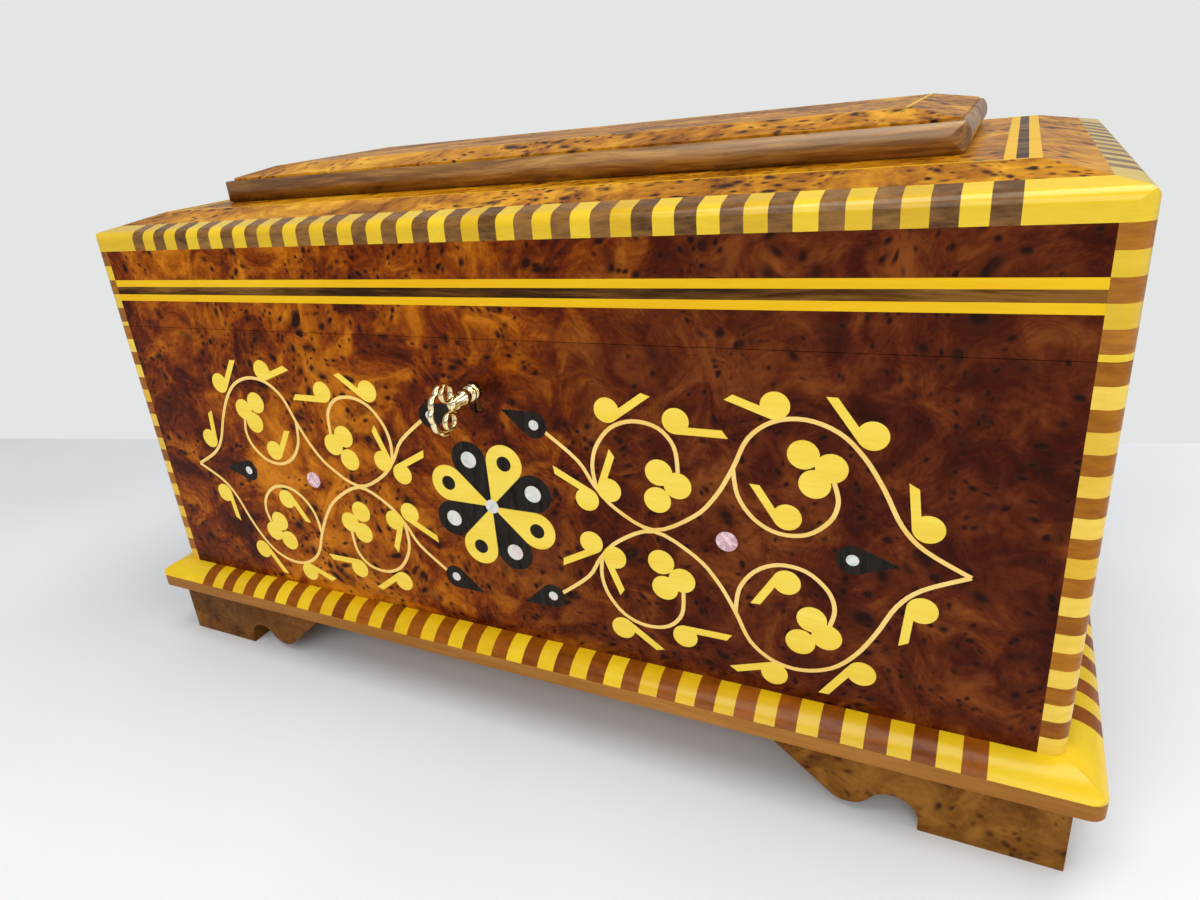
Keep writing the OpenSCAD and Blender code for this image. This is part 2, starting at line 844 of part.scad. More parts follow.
// Velvet over the floor and the walls of the storage well, cut away behind the lock
module well_lining() color("#7d1424") placed() {
    left = partition_x + partition_t;
    box([left, in_w], [-in_d, in_d], [z_floor, z_floor + 2]);
    low = z_floor + 2;
    high = z_seam - 6;
    box([left, left + lining_t], [-in_d + lining_t, in_d - lining_t], [low, high]);
    box([in_w - lining_t, in_w], [-in_d + lining_t, in_d - lining_t], [low, high]);
    box([left, in_w], [in_d - lining_t, in_d], [low, high]);
    difference() {
        box([left, in_w], [-in_d, -in_d + lining_t], [low, high]);
        box([-lock_w - 3, lock_w + 3], [-in_d - 1, -in_d + lining_t + 1], [lock_low - 3, z_seam]);
    }
}

module cover_ledges() color(oak) placed() {
    for (m = [0, 1]) mirror([0, m, 0])
        box([-in_w, partition_x], [in_d - 5, in_d], [z_cover - 5, z_cover]);
}

module movement_cover() color("lightblue") placed() {
    difference() {
        box([-in_w + 0.3, partition_x - 0.3], [-in_d + 0.3, in_d - 0.3], [z_cover, z_cover + 2.5]);
        box([-in_w - 1, rod_x + 3], [rod_y - 4, rod_y + 4], [z_cover - 1, z_cover + 4]);
    }
}

// ---------------------------------------------------------------- musical movement

plate_x = [-184, -71];
plate_y = [-44, 30];
inner_post_x = [-113, -110.5];
outer_post_x = [-167, -164];
post_half = 4;
comb_seat_y = [-40, -31];
comb_screw_y = -35.5;

module bedplate_screws(slack = 0) {
    for (x = [plate_x[0] + 4, plate_x[1] - 4], y = [plate_y[0] + 4, plate_y[1] - 4])
        translate([x, y, z_plate + 1.6])
            screw(r = 1.5, head_r = 2.8, head_h = 1.6, length = 10, slack = slack);
}

module comb_screws(slack = 0) {
    for (i = [-1, 0, 1])
        translate([comb_x + 17 * i, comb_screw_y, z_axle + comb_t / 2 + 1.6])
            screw(r = 1.5, head_r = 2.8, head_h = 1.6, length = 12, slack = slack);
}

module bedplate() color("#a7a9a5") placed() {
    difference() {
        union() {
            box(plate_x, plate_y, [z_floor, z_plate]);
            box(inner_post_x, [-post_half, post_half], [z_plate - eps, z_axle + 4]);
            box(outer_post_x, [-post_half, post_half], [z_plate - eps, z_axle + 4]);
            box([comb_x - 23, comb_x + 23], comb_seat_y, [z_plate - eps, z_axle - comb_t / 2]);
        }
        x_rod(axle_r + run_gap, [outer_post_x[0] - 1, inner_post_x[1] + 1], 0, z_axle);
        z_rod(arbor_r + run_gap, [z_floor - 1, z_plate + 1], barrel_x, 0);
        bedplate_screws(0.02);
        comb_screws(0.02);
    }
}

// Comb plate with one slot between each two teeth; the bass teeth at the left are longer
module comb() color(steel) placed() {
    half = comb_teeth * comb_pitch / 2;
    z = [z_axle - comb_t / 2, z_axle + comb_t / 2];
    difference() {
        box([comb_x - half, comb_x + half], [comb_seat_y[0], -comb_tip], z);
        for (i = [1 : comb_teeth - 1]) {
            x = comb_x - half + i * comb_pitch;
            box([x - 0.2, x + 0.2], [-29 + i * 0.25, -comb_tip + 1], [z[0] - 1, z[1] + 1]);
        }
        comb_screws(0.02);
    }
}

module movement_screws() color(steel) placed() {
    bedplate_screws();
    comb_screws();
}

// Gear seen along its axle: trapezoid teeth round a disc, with one tooth at the angle start
module gear(teeth, r, add, ded, tip_w, root_w, start = 0) {
    circle(r = r - ded);
    for (i = [0 : teeth - 1]) rotate(start + i * 360 / teeth)
        polygon([[r - ded - 0.3, -root_w / 2], [r + add, -tip_w / 2], [r + add, tip_w / 2],
                 [r - ded - 0.3, root_w / 2]]);
}

// Crown teeth stand on the barrel's lid. A gap lies under the cylinder's pinion.
module spring_barrel() color(brass) placed() {
    translate([barrel_x, 0, 0]) {
        difference() {
            z_rod(barrel_r, [z_barrel, z_crown], 0, 0);
            z_rod(barrel_r - 1, [z_barrel + 1, z_crown - 1.2], 0, 0);
            z_rod(arbor_r + run_gap, [z_barrel - 1, z_crown + 1], 0, 0);
        }
        for (i = [0 : crown_teeth - 1])
            rotate([0, 0, (i + 0.5) * 360 / crown_teeth])
                translate([crown_r - 1.2, 0, z_crown]) rotate([90, 0, 90]) linear_extrude(2.4)
                    polygon([[-0.45, -0.3], [-0.3, tooth_ded + tooth_add - 0.1],
                             [0.3, tooth_ded + tooth_add - 0.1], [0.45, -0.3]]);
    }
}

// Flat spiral spring, wound on in even turns between the arbor and the barrel's wall
spring_turns = 5;
spring_r = [7.5, 16];
spring_w = 0.5;
function spring_point(i, n, off) =
    let (a = 360 * spring_turns * i / n, r = spring_r[0] + (spring_r[1] - spring_r[0]) * i / n + off)
    r * [cos(a), sin(a)];

module mainspring() color(steel) placed() {
    n = 24 * spring_turns;
    translate([barrel_x, 0, z_barrel + 2]) linear_extrude(barrel_h - 4.5)
        polygon(concat([for (i = [0 : n]) spring_point(i, n, -spring_w / 2)],
                       [for (i = [n : -1 : 0]) spring_point(i, n, spring_w / 2)]));
}

module winding_arbor() color(steel) placed() {
    z_rod(arbor_r, [13, z_crown + 1.2], barrel_x, 0);
    z_rod(5.5, [z_barrel + 1.3, z_crown - 1.5], barrel_x, 0);
}

// Butterfly key under the base
module winding_key() color(brass) placed() {
    difference() {
        z_rod(4.5, [11, foot_h - 1], barrel_x, 0);
        z_rod(arbor_r + 0.01, [13, foot_h], barrel_x, 0);
    }
    translate([barrel_x, 1.25, 0]) rotate([90, 0, 0]) linear_extrude(2.5)
        difference() {
            union() {
                for (s = [-1, 1]) translate([9 * s, 13.5]) circle(r = 6.5);
                translate([-9, 9]) square([18, 4]);
            }
            for (s = [-1, 1]) translate([9.5 * s, 13.5]) circle(r = 3);
            translate([-4.4, 11]) square([8.8, 12]);
        }
}

// Cylinder with its pinion at the barrel's end and its wheel at the governor's end
module music_cylinder() color(brass) placed() {
    x_rod(axle_r, [outer_post_x[0] - 1, barrel_x - crown_r + 1.5], 0, z_axle);
    x_rod(drum_r, drum_x, 0, z_axle);
    x_rod(4, [-160.6, drum_x[0] + eps], 0, z_axle);
    translate([-162.5, 0, z_axle]) rotate([90, 0, 90]) linear_extrude(2)
        gear(cylinder_wheel_teeth, cylinder_wheel_r, 0.5, 0.65, 0.35, 0.85);
    translate([barrel_x - crown_r - 0.9, 0, z_axle]) rotate([90, 0, 90]) linear_extrude(1.8)
        gear(cylinder_pinion_teeth, pinion_r, tooth_add, tooth_ded, 0.55, 0.95, -90);
}

// Pins stand on the cylinder, one track for each tooth of the comb
module cylinder_pins() color(steel) placed() {
    for (i = [0 : comb_teeth - 1], k = [0 : 3]) {
        x = comb_x + (i + 0.5 - comb_teeth / 2) * comb_pitch;
        turn = 137 * i + 90 * k + 23 * (k % 2);
        translate([x, 0, z_axle]) rotate([turn, 0, 0])
            translate([0, 0, drum_r - 0.3]) cylinder(r = 0.3, h = pin_h + 0.3);
    }
}

gov_plate_x = [-166.5, -180];

module governor_frame() color(brass) placed() {
    x = [gov_plate_x[1], gov_plate_x[0] + 2];
    back = [worm_y + 4.5, worm_y + 7];
    difference() {
        union() {
            box(x, back, [z_plate, z_fan - 1]);
            for (p = gov_plate_x)
                box([p, p + 2], [9.5, back[0] + eps], [z_plate, z_axle + 5]);
            for (z = [[z_axle - 12, z_axle - 9.5], [z_fan - 3.5, z_fan - 1]])
                box([worm_x - 3, worm_x + 3], [worm_y - 3, back[0] + eps], z);
        }
        x_rod(worm_shaft_r + run_gap, [x[0] - 1, x[1] + 1], governor_y, z_axle);
        z_rod(worm_shaft_r + run_gap, [z_axle - 13, z_fan + 1], worm_x, worm_y);
        bedplate_screws(0.02);
    }
}

// Governor wheel and its pinion on one shaft
module governor_wheel() color(brass) placed() {
    x_rod(worm_shaft_r, [gov_plate_x[1] - 0.5, -160], governor_y, z_axle);
    translate([-162.7, governor_y, z_axle]) rotate([90, 0, 90]) linear_extrude(2.4)
        gear(governor_pinion_teeth, governor_pinion_r, 0.4, 0.65, 0.35, 0.75,
             180 + 180 / governor_pinion_teeth);
    translate([worm_x - 0.6, governor_y, z_axle]) rotate([90, 0, 90]) linear_extrude(1.2)
        gear(governor_wheel_teeth, governor_wheel_r, 0.15, 0.75, 0.34, 0.7);
}

// Single-start worm: a round bar thrown off centre and twisted, with the air brake above it
module governor_worm() color(steel) placed() {
    worm_turns = 5;
    h = worm_turns * worm_lead;
    translate([worm_x, worm_y, 0]) {
        z_rod(worm_shaft_r, [z_axle - 12.2, z_fan + 6], 0, 0);
        translate([0, 0, z_axle - h / 2]) rotate([0, 0, -90])
            linear_extrude(height = h, twist = -360 * worm_turns, slices = 16 * worm_turns, $fn = 16)
                translate([worm_throw, 0]) circle(r = worm_r);
        z_rod(1.6, [z_fan, z_fan + 6], 0, 0);
        box([-7, 7], [-0.3, 0.3], [z_fan, z_fan + 6]);
    }
}
// Wire that the closed lid holds down. Its finger then stands beside the air brake.
module stop_rod() color(steel) placed() {
    z_rod(rod_r, [z_fan + 1, z_seam], rod_x, rod_y);
    box([rod_x, worm_x - 7.5], [rod_y - 1, rod_y + 1], [z_fan + 1, z_fan + 4]);
}

module rod_guide() color(brass) placed() {
    difference() {
        box([-in_w, rod_x + 3.5], [rod_y - 5, rod_y + 5], [140, 148]);
        z_rod(rod_r + run_gap, [139, 149], rod_x, rod_y);
    }
}

// ---------------------------------------------------------------- lid

module lid_frame() color(oak) placed() {
    z = [z_lid, z_band];
    difference() {
        union() {
            for (m = [0, 1]) mirror([0, m, 0]) long_board(z);
            for (m = [0, 1]) mirror([m, 0, 0]) short_board(z);
        }
        lid_leaf_recess();
        hinge_screws(1, 0.03);
        strike_screws(0.03);
        box([-plate_half - 0.1, plate_half + 0.1], [lock_y - 9.1, lock_y + 1],
            [z_lid - 1, z_lid + plate_t + 0.1]);
    }
}

// Half section of the lid's top: an upright edge, a rounded shoulder and a shallow slope.
// Lowered by drop, it is the surface that the sheets are laid on.
module top_profile(drop = 0) {
    edge_z = z_flat - plateau_in * border_slope;
    tilt = atan(border_slope);
    shoulder_z = edge_z + band_round * tan(tilt) - band_round / cos(tilt);
    touch = [band_round - band_round * sin(tilt), shoulder_z + band_round * cos(tilt)];
    translate([0, -drop]) {
        polygon([[0, z_band], [0, shoulder_z], [band_round, shoulder_z], touch,
                 [plateau_in, z_flat], [75, z_flat], [75, z_band]]);
        translate([band_round, shoulder_z]) circle(r = band_round);
    }
}

module lid_solid(drop = 0) {
    intersection() {
        mitred([z_band - drop, z_flat - drop]) top_profile(drop);
        rounded_block(0, [z_band - 3, z_flat + 3], corner_r);
    }
}

// Core of the lid's top under the banding
module band_core() {
    intersection() {
        lid_solid(block_t);
        box([-half_w + block_t, half_w - block_t], [-half_d + block_t, half_d - block_t], [z_band, z_flat]);
    }
}

module lid_ring(which) {
    intersection() {
        difference() {
            lid_solid();
            band_core();
        }
        ring([-1, band_w], [z_band, z_flat]);
        ring_cutter(which, 171.5, 77.5, [z_band, z_flat]);
    }
}

module lid_banding_light() color(lemonwood) placed() {
    lid_ring(1);
    post_row([z_lid + post_cut, z_band], lid_post_blocks, 1);
    post_row([z_lid, z_lid + post_cut], 1, 0);
}

module lid_banding_dark() color(walnut) placed() {
    lid_ring(0);
    post_row([z_lid + post_cut, z_band], lid_post_blocks, 0);
}

module lid_top_board() color(oak) placed() {
    band_core();
    intersection() {
        lid_solid(sheet_t);
        box([-half_w + band_w, half_w - band_w], [-half_d + band_w, half_d - band_w], [z_band, z_flat]);
    }
}

module all_faces(z) {
    face_sheet("front", z);
    face_sheet("sides", z);
    difference() {
        face_sheet("back", z);
        lid_leaf_recess();
    }
}

// Sheet on the lid's top between two insets
module top_sheet(inset) {
    intersection() {
        difference() {
            lid_solid();
            lid_solid(sheet_t);
        }
        ring(inset, [z_band, z_flat]);
    }
}

// The flat of the lid's top: strips across both its ends, a thin line along front and back
flat_y = half_d - plateau_in - edge_line_w;

module end_strips(inset) {
    for (m = [0, 1]) mirror([m, 0, 0])
        box([half_w - inset[1], half_w - inset[0]], [-flat_y, flat_y], [z_flat - sheet_t, z_flat]);
}

module edge_lines() {
    for (m = [0, 1]) mirror([0, m, 0])
        box([-half_w + plateau_in, half_w - plateau_in], [flat_y, flat_y + edge_line_w],
            [z_flat - sheet_t, z_flat]);
}

module lid_veneers() color(dark_burl) placed() {
    all_faces([z_lid, z_seam + line_z[0]]);
    all_faces([z_seam + line_z[3], z_band]);
    top_sheet([band_w, plateau_in]);
    box([-half_w + line_in[3], half_w - line_in[3]], [-flat_y, flat_y], [z_flat - sheet_t, z_flat]);
}

module lid_stringing_light() color(lemonwood) placed() {
    all_faces([z_seam + line_z[0], z_seam + line_z[1]]);
    all_faces([z_seam + line_z[2], z_seam + line_z[3]]);
    end_strips([line_in[0], line_in[1]]);
    end_strips([line_in[2], line_in[3]]);
    edge_lines();
    intersection() {
        panel_ring([flat_in, flat_in + panel_line_w]);
        box([-half_w, half_w], [-half_d, half_d], [z_panel - panel_sheet, z_panel]);
    }
}

module lid_stringing_dark() color(walnut) placed() {
    all_faces([z_seam + line_z[1], z_seam + line_z[2]]);
    end_strips([line_in[1], line_in[2]]);
}

// Half-round moulding round the raised panel
module mould_profile() {
    intersection() {
        union() {
            translate([mould_in + mould_r, z_flat + mould_mid]) circle(r = mould_r);
            translate([mould_in + mould_r, z_flat]) square([25, mould_h]);
        }
        translate([mould_in - 1, z_flat]) square([30, mould_h]);
    }
}

module panel_moulding() color(walnut) placed() {
    difference() {
        intersection() {
            mitred([z_flat, z_flat + mould_h]) mould_profile();
            rounded_block(mould_in, [z_flat, z_flat + mould_h], panel_corner_r);
        }
        box([-half_w + mould_in + mould_w, half_w - mould_in - mould_w],
            [-half_d + mould_in + mould_w, half_d - mould_in - mould_w], [z_flat - 1, z_panel]);
    }
}

// Upper part of the raised panel, above its moulding, with a sloped border
module panel_slope(drop) {
    intersection() {
        mitred([z_flat + mould_h, z_panel - drop])
            polygon([[slope_in, z_flat + mould_h], [slope_in, z_flat + mould_h + panel_sheet - drop],
                     [flat_in, z_panel - drop], [76, z_panel - drop], [76, z_flat + mould_h]]);
        rounded_block(slope_in, [z_flat, z_panel], panel_corner_r);
    }
}

module panel_board() color(oak) placed() {
    box([-half_w + mould_in + mould_w, half_w - mould_in - mould_w],
        [-half_d + mould_in + mould_w, half_d - mould_in - mould_w], [z_flat, z_flat + mould_h + eps]);
    panel_slope(panel_sheet);
}

module panel_ring(inset) {
    intersection() {
        difference() {
            panel_slope(0);
            panel_slope(panel_sheet);
        }
        ring(inset, [z_flat, z_panel]);
    }
}

module panel_veneers() color(burl) placed() {
    panel_ring([slope_in - 1, flat_in]);
    edge = flat_in + panel_line_w;
    box([-half_w + edge, half_w - edge], [-half_d + edge, half_d - edge], [z_panel - panel_sheet, z_panel]);
}

module strike_screws(slack = 0) {
    for (s = [-1, 1])
        translate([24 * s, lock_y - 4.5, z_lid]) rotate([180, 0, 0]) screw(slack = slack);
}

module lid_screws() color(brass) placed() {
    hinge_screws(1);
    strike_screws();
}

// Block inside the lid that presses the stop rod down
module lid_stop_block() color(oak) placed() {
    box([-in_w, -in_w + 10], [rod_y - 6, rod_y + 6], [z_lid, z_band]);
}

module lid_lining() color("#7d1424") placed() {
    difference() {
        box([-in_w + 0.5, in_w - 0.5], [-in_d + 0.5, in_d - 0.5], [z_band - lining_t, z_band]);
        box([-in_w - 1, -in_w + 10.5], [rod_y - 6.5, rod_y + 6.5], [z_band - 5, z_band + 1]);
    }
}

// ---------------------------------------------------------------- nodes

base_board();
foot_front_left();
foot_front_right();
foot_back_left();
foot_back_right();
front_board();
back_board();
left_board();
right_board();
bottom_board();
front_veneer();
case_veneers();
case_banding_light();
case_banding_dark();
vine_inlay();
leaf_inlay();
light_petals();
ebony_inlay();
pearl_dots();
lock_case();
lock_face_plate();
lock_bolt();
lock_key();
case_screws();
hinge_case_leaves();
hinge_pins();
partition_board();
well_lining();
cover_ledges();
movement_cover();
bedplate();
comb();
governor_frame();
movement_screws();
rod_guide();
spring_barrel();
mainspring();
winding_arbor();
winding_key();
music_cylinder();
cylinder_pins();
governor_wheel();
governor_worm();
stop_rod();
lid_frame();
lid_top_board();
lid_veneers();
lid_banding_light();
lid_banding_dark();
lid_stringing_light();
lid_stringing_dark();
panel_moulding();
panel_board();
panel_veneers();
hinge_lid_leaves();
strike_plate();
lid_screws();
lid_lining();
lid_stop_block();
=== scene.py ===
"""Looks of a marquetry chest with a musical movement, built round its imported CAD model.

Metres, in the frame of the CAD: X along the front, -Y the front, Z up, floor at Z = 0.
"""

import math

import bmesh
import bpy
from mathutils import Euler, Matrix, Vector


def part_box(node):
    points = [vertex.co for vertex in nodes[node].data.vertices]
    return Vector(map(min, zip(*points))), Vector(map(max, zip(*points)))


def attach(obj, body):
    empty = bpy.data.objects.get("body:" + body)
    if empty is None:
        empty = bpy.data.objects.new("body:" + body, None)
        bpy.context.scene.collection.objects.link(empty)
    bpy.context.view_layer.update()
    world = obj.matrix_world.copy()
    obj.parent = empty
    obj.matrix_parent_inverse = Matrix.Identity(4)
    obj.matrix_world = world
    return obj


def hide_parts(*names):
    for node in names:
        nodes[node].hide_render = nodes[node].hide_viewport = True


MM = 0.001
# Colour sockets of the Mix node, which has a set of sockets for each kind of data
MIX_A, MIX_B, MIX_RESULT = 6, 7, 2
WHITE = (1.0, 1.0, 1.0, 1.0)

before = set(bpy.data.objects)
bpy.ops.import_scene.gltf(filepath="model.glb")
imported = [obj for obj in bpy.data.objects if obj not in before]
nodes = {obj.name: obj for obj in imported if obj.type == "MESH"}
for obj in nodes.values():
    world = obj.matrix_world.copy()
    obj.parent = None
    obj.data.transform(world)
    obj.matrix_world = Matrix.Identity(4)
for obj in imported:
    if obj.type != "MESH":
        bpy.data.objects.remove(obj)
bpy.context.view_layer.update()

# ------------------------------------------------------------------ levels from the CAD

base_low, base_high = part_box("base_board")
lid_low, lid_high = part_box("lid_frame")
body_low, body_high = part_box("front_veneer")
mid_y = (base_low.y + base_high.y) / 2


# ------------------------------------------------------------------ shader graphs

class Graph:
    """Node graph of one procedural material, on the piece's own coordinates."""

    def __init__(self, name):
        self.material = bpy.data.materials.new(name)
        self.material.use_nodes = True
        self.tree = self.material.node_tree
        self.tree.nodes.clear()
        self.place = self.node("ShaderNodeTexCoord").outputs["Object"]

    def node(self, kind, inputs=None, **settings):
        made = self.tree.nodes.new(kind)
        for key, value in settings.items():
            setattr(made, key, value)
        for key, value in (inputs or {}).items():
            self.put(made.inputs[key], value)
        return made

    def put(self, socket, value):
        """Links an output to the socket, or sets the socket to a plain value."""
        if isinstance(value, bpy.types.NodeSocket):
            self.tree.links.new(value, socket)
        else:
            socket.default_value = value

    def math(self, operation, a, b=0.0, clamp=False):
        made = self.node("ShaderNodeMath", {0: a, 1: b}, operation=operation, use_clamp=clamp)
        return made.outputs[0]

    def vector(self, operation, a, b=(0.0, 0.0, 0.0)):
        return self.node("ShaderNodeVectorMath", {0: a, 1: b}, operation=operation).outputs[0]

    def axis(self, which):
        """One of the piece's own coordinates: 0 is X, 1 is Y, 2 is Z."""
        return self.node("ShaderNodeSeparateXYZ", {0: self.place}).outputs[which]

    def join(self, x, y, z):
        return self.node("ShaderNodeCombineXYZ", {0: x, 1: y, 2: z}).outputs[0]

    def noise(self, scale, detail=3.0, roughness=0.5, at=None, distortion=0.0):
        """Noise from 0 to 1; scale is features per metre."""
        made = self.node("ShaderNodeTexNoise", {
            "Vector": at or self.place, "Scale": scale, "Detail": detail,
            "Roughness": roughness, "Distortion": distortion})
        return made.outputs["Fac"]

    def warp(self, scale, amount, at=None):
        """The coordinates pushed about by a slow noise, up to half of amount each way."""
        start = at or self.place
        made = self.node("ShaderNodeTexNoise", {"Vector": start, "Scale": scale, "Detail": 2.0})
        push = self.vector("SUBTRACT", made.outputs["Color"], (0.5, 0.5, 0.5))
        return self.vector("ADD", start, self.vector("MULTIPLY", push, (amount,) * 3))

    def cells(self, scale, at):
        """Distance to the nearest of scattered points, and that point's random value."""
        made = self.node("ShaderNodeTexVoronoi", {"Vector": at, "Scale": scale})
        value = self.node("ShaderNodeSeparateColor", {0: made.outputs["Color"]}).outputs[0]
        return made.outputs["Distance"], value

    def span(self, value, low, high, to_low=0.0, to_high=1.0):
        """Smooth step: to_low where value is at low, to_high where it is at high."""
        made = self.node("ShaderNodeMapRange", {
            "Value": value, "From Min": low, "From Max": high,
            "To Min": to_low, "To Max": to_high}, interpolation_type="SMOOTHSTEP")
        return made.outputs[0]

    def ramp(self, value, stops):
        """Colour for a value, from stops of (value, colour)."""
        made = self.node("ShaderNodeValToRGB", {0: value})
        band = made.color_ramp
        while len(band.elements) < len(stops):
            band.elements.new(0.5)
        for element, (at, colour) in zip(band.elements, stops):
            element.position = at
            element.color = (*colour, 1.0)
        return made.outputs[0]

    def mix(self, share, a, b):
        """Blend of two colours, from a at share 0 to b at share 1."""
        made = self.node("ShaderNodeMix", {0: share}, data_type="RGBA", blend_type="MIX")
        for socket, value in ((MIX_A, a), (MIX_B, b)):
            linked = isinstance(value, bpy.types.NodeSocket)
            self.put(made.inputs[socket], value if linked else (*value, 1.0))
        return made.outputs[MIX_RESULT]

    def bump(self, height, distance, strength=1.0, below=None):
        """Normal of a bumped surface; below is the normal of a bump that it lies on."""
        inputs = {"Height": height, "Distance": distance, "Strength": strength}
        if below:
            inputs["Normal"] = below
        return self.node("ShaderNodeBump", inputs).outputs[0]

    def finish(self, colour, roughness, normal=None, **uniform):
        """Ends the graph in one shader. Uniform numbers go on the shader's own sockets."""
        shader = self.node("ShaderNodeBsdfPrincipled", {"Base Color": colour, "Roughness": roughness})
        if normal:
            self.put(shader.inputs["Normal"], normal)
        for key, value in uniform.items():
            shader.inputs[key.replace("_", " ")].default_value = value
        self.node("ShaderNodeOutputMaterial", {0: shader.outputs[0]})
        return self.material


def lacquered(graph, colour, grain, gloss=(0.24, 0.36), coat=0.06, shine=0.04, softness=0.08,
              tint=WHITE):
    """Varnished wood: a soft sheen on a face that isn't quite flat, under a thin clear coat.
    gloss is the roughness at the grain's low and high points, coat the weight of the coat,
    softness the coat's roughness, shine the specular level and tint the specular tint."""
    roughness = graph.span(grain, 0.2, 0.8, *gloss)
    sunk = graph.bump(grain, 0.05 * MM, 0.5)
    waves = graph.bump(graph.noise(45, 2.0), 0.5 * MM, 0.12, below=sunk)
    return graph.finish(colour, roughness, waves,
                        Specular_IOR_Level=shine, Coat_Weight=coat, Coat_Roughness=softness,
                        Specular_Tint=tint)


# Sets of eyes: cells per metre, radius of the largest eye and half the width of its soft rim, in
# cells
EYES = ((64, 0.17, 0.05), (98, 0.21, 0.06), (170, 0.24, 0.08), (260, 0.26, 0.10))
# Random value from which a cell has an eye, and noise from which eyes gather, each as a soft step
EYE_CHANCE = (0.30, 0.34)
EYE_CROWD = (0.38, 0.46)
HALO_REACH = 0.24
HALO_SHARE = 0.62
HALO_COLOUR = (0.055, 0.010, 0.002)
EYE_SHARE = 0.92
EYE_COLOUR = (0.012, 0.003, 0.002)
# How far the clouds at their fullest bring the darker wood in, and the lengths over which the darker
# wood and the golden sheets begin
PLUM_PULL = 350 * MM
PLUM_FADE = 140 * MM
AMBER_FADE = 1 * MM


def burl(name, stops, plum=None, amber=None, knots=1.0):
    """Root burl: clouds of light and dark, curled feathers, and clusters of dark eyes.
    plum is the X at which the wood starts to darken where it has no cloud, with the dark colours;
    amber is the height above which the sheets are golden, with theirs; knots is how dark the eyes
    are."""
    graph = Graph(name)
    at = graph.warp(22, 26 * MM)
    near = graph.warp(80, 7 * MM, at)
    clouds = graph.noise(17, 4.0, 0.55, at)
    curls = graph.noise(52, 5.0, 0.62, near, 1.1)
    fibres = graph.noise(420, 4.0, 0.7, graph.warp(60, 10 * MM))
    rings = graph.math("SINE", graph.math("MULTIPLY", graph.noise(24, 2.0, 0.5, near, 0.8), 190.0))
    figure = graph.math("ADD", graph.math("MULTIPLY", clouds, 1.5), graph.math("MULTIPLY", curls, 1.7))
    figure = graph.math("SUBTRACT", figure, 1.10)
    figure = graph.math("ADD", figure, graph.math("MULTIPLY", rings, 0.035))
    figure = graph.math("ADD", figure, graph.math("MULTIPLY", graph.math("SUBTRACT", fibres, 0.5), 0.35))
    colour = graph.ramp(figure, stops)
    if plum:
        right, tones = plum
        reach = graph.math("ADD", graph.axis(0), graph.math("MULTIPLY", clouds, PLUM_PULL))
        darker = graph.span(reach, right, right + PLUM_FADE)
        colour = graph.mix(darker, colour, graph.ramp(figure, tones))
    if amber:
        level, tones = amber
        above = graph.span(graph.axis(2), level, level + AMBER_FADE)
        colour = graph.mix(above, colour, graph.ramp(figure, tones))
    # Eyes gather in some places and are missing in others
    crowd = graph.span(graph.noise(21, 2.0, 0.5, at), *EYE_CROWD)
    for scale, size, rim in EYES:
        distance, chance = graph.cells(scale, near)
        here = graph.math("MULTIPLY", graph.span(chance, *EYE_CHANCE), crowd)
        off = graph.math("SUBTRACT", distance, graph.math("MULTIPLY", chance, size))
        halo = graph.math("MULTIPLY", graph.span(off, 0.0, HALO_REACH, HALO_SHARE * knots, 0.0), here)
        colour = graph.mix(halo, colour, HALO_COLOUR)
        eye = graph.math("MULTIPLY", graph.span(off, -rim, rim, EYE_SHARE * knots, 0.0), here)
        colour = graph.mix(eye, colour, EYE_COLOUR)
    return lacquered(graph, colour, fibres)


def snapped(graph, axis, middle, half, count):
    """Number of the block along one axis, the same for everything past either end."""
    along = graph.math("ADD", graph.axis(axis), half - middle)
    turn = graph.math("MULTIPLY", along, count / (2 * half))
    return graph.math("MINIMUM", graph.math("MAXIMUM", graph.math("FLOOR", turn), -1.0), float(count))


# Half length and number of the blocks along the front and along the sides, and the lowest and
# highest point and number of those up the posts
BLOCKS = {
    "case": ((179 * MM, 49), (85.3 * MM, 21), (body_low.z, body_high.z, 20)),
    "lid": ((171.5 * MM, 49), (77.5 * MM, 21), (lid_low.z + 2 * MM, lid_high.z, 5)),
}
BLOCK_SOFTNESS = 0.2


def blocks(name, part, rim, posts, streaks, coat):
    """Banding of glued blocks, each with its own tone and its own piece of grain. rim and posts
    are the darkest and the lightest colour of the blocks round the rim and up the corner posts,
    streaks is how much of the tone is grain, and coat the weight of the coat."""
    graph = Graph(name)
    (half_x, count_x), (half_y, count_y), (low, high, count_z) = BLOCKS[part]
    index = graph.join(
        snapped(graph, 0, 0.0, half_x, count_x),
        snapped(graph, 1, mid_y, half_y, count_y),
        snapped(graph, 2, (low + high) / 2, (high - low) / 2, count_z))
    chance = graph.node("ShaderNodeTexWhiteNoise", {"Vector": index}).outputs["Value"]
    moved = graph.vector("ADD", graph.place, graph.vector("MULTIPLY", index, (0.37, 0.53, 0.71)))
    at = graph.vector("MULTIPLY", graph.warp(60, 4 * MM, moved), (0.22, 0.4, 1.0))
    grain = graph.noise(520, 4.0, 0.65, at)
    broad = graph.noise(120, 2.0, 0.5, at)
    tone = graph.math("ADD", graph.math("MULTIPLY", chance, 1 - streaks),
                      graph.math("MULTIPLY", graph.span(grain, 0.3, 0.7), streaks))
    drift = graph.math("MULTIPLY", graph.math("SUBTRACT", broad, 0.5), 0.5)
    tone = graph.math("ADD", tone, drift, clamp=True)
    on_post = graph.math("MULTIPLY", graph.math("GREATER_THAN", graph.axis(2), low),
                         graph.math("LESS_THAN", graph.axis(2), high))
    tones = [graph.ramp(tone, ((0.0, dark), (1.0, light))) for dark, light in (rim, posts)]
    return lacquered(graph, graph.mix(on_post, *tones), grain, coat=coat, softness=BLOCK_SOFTNESS)


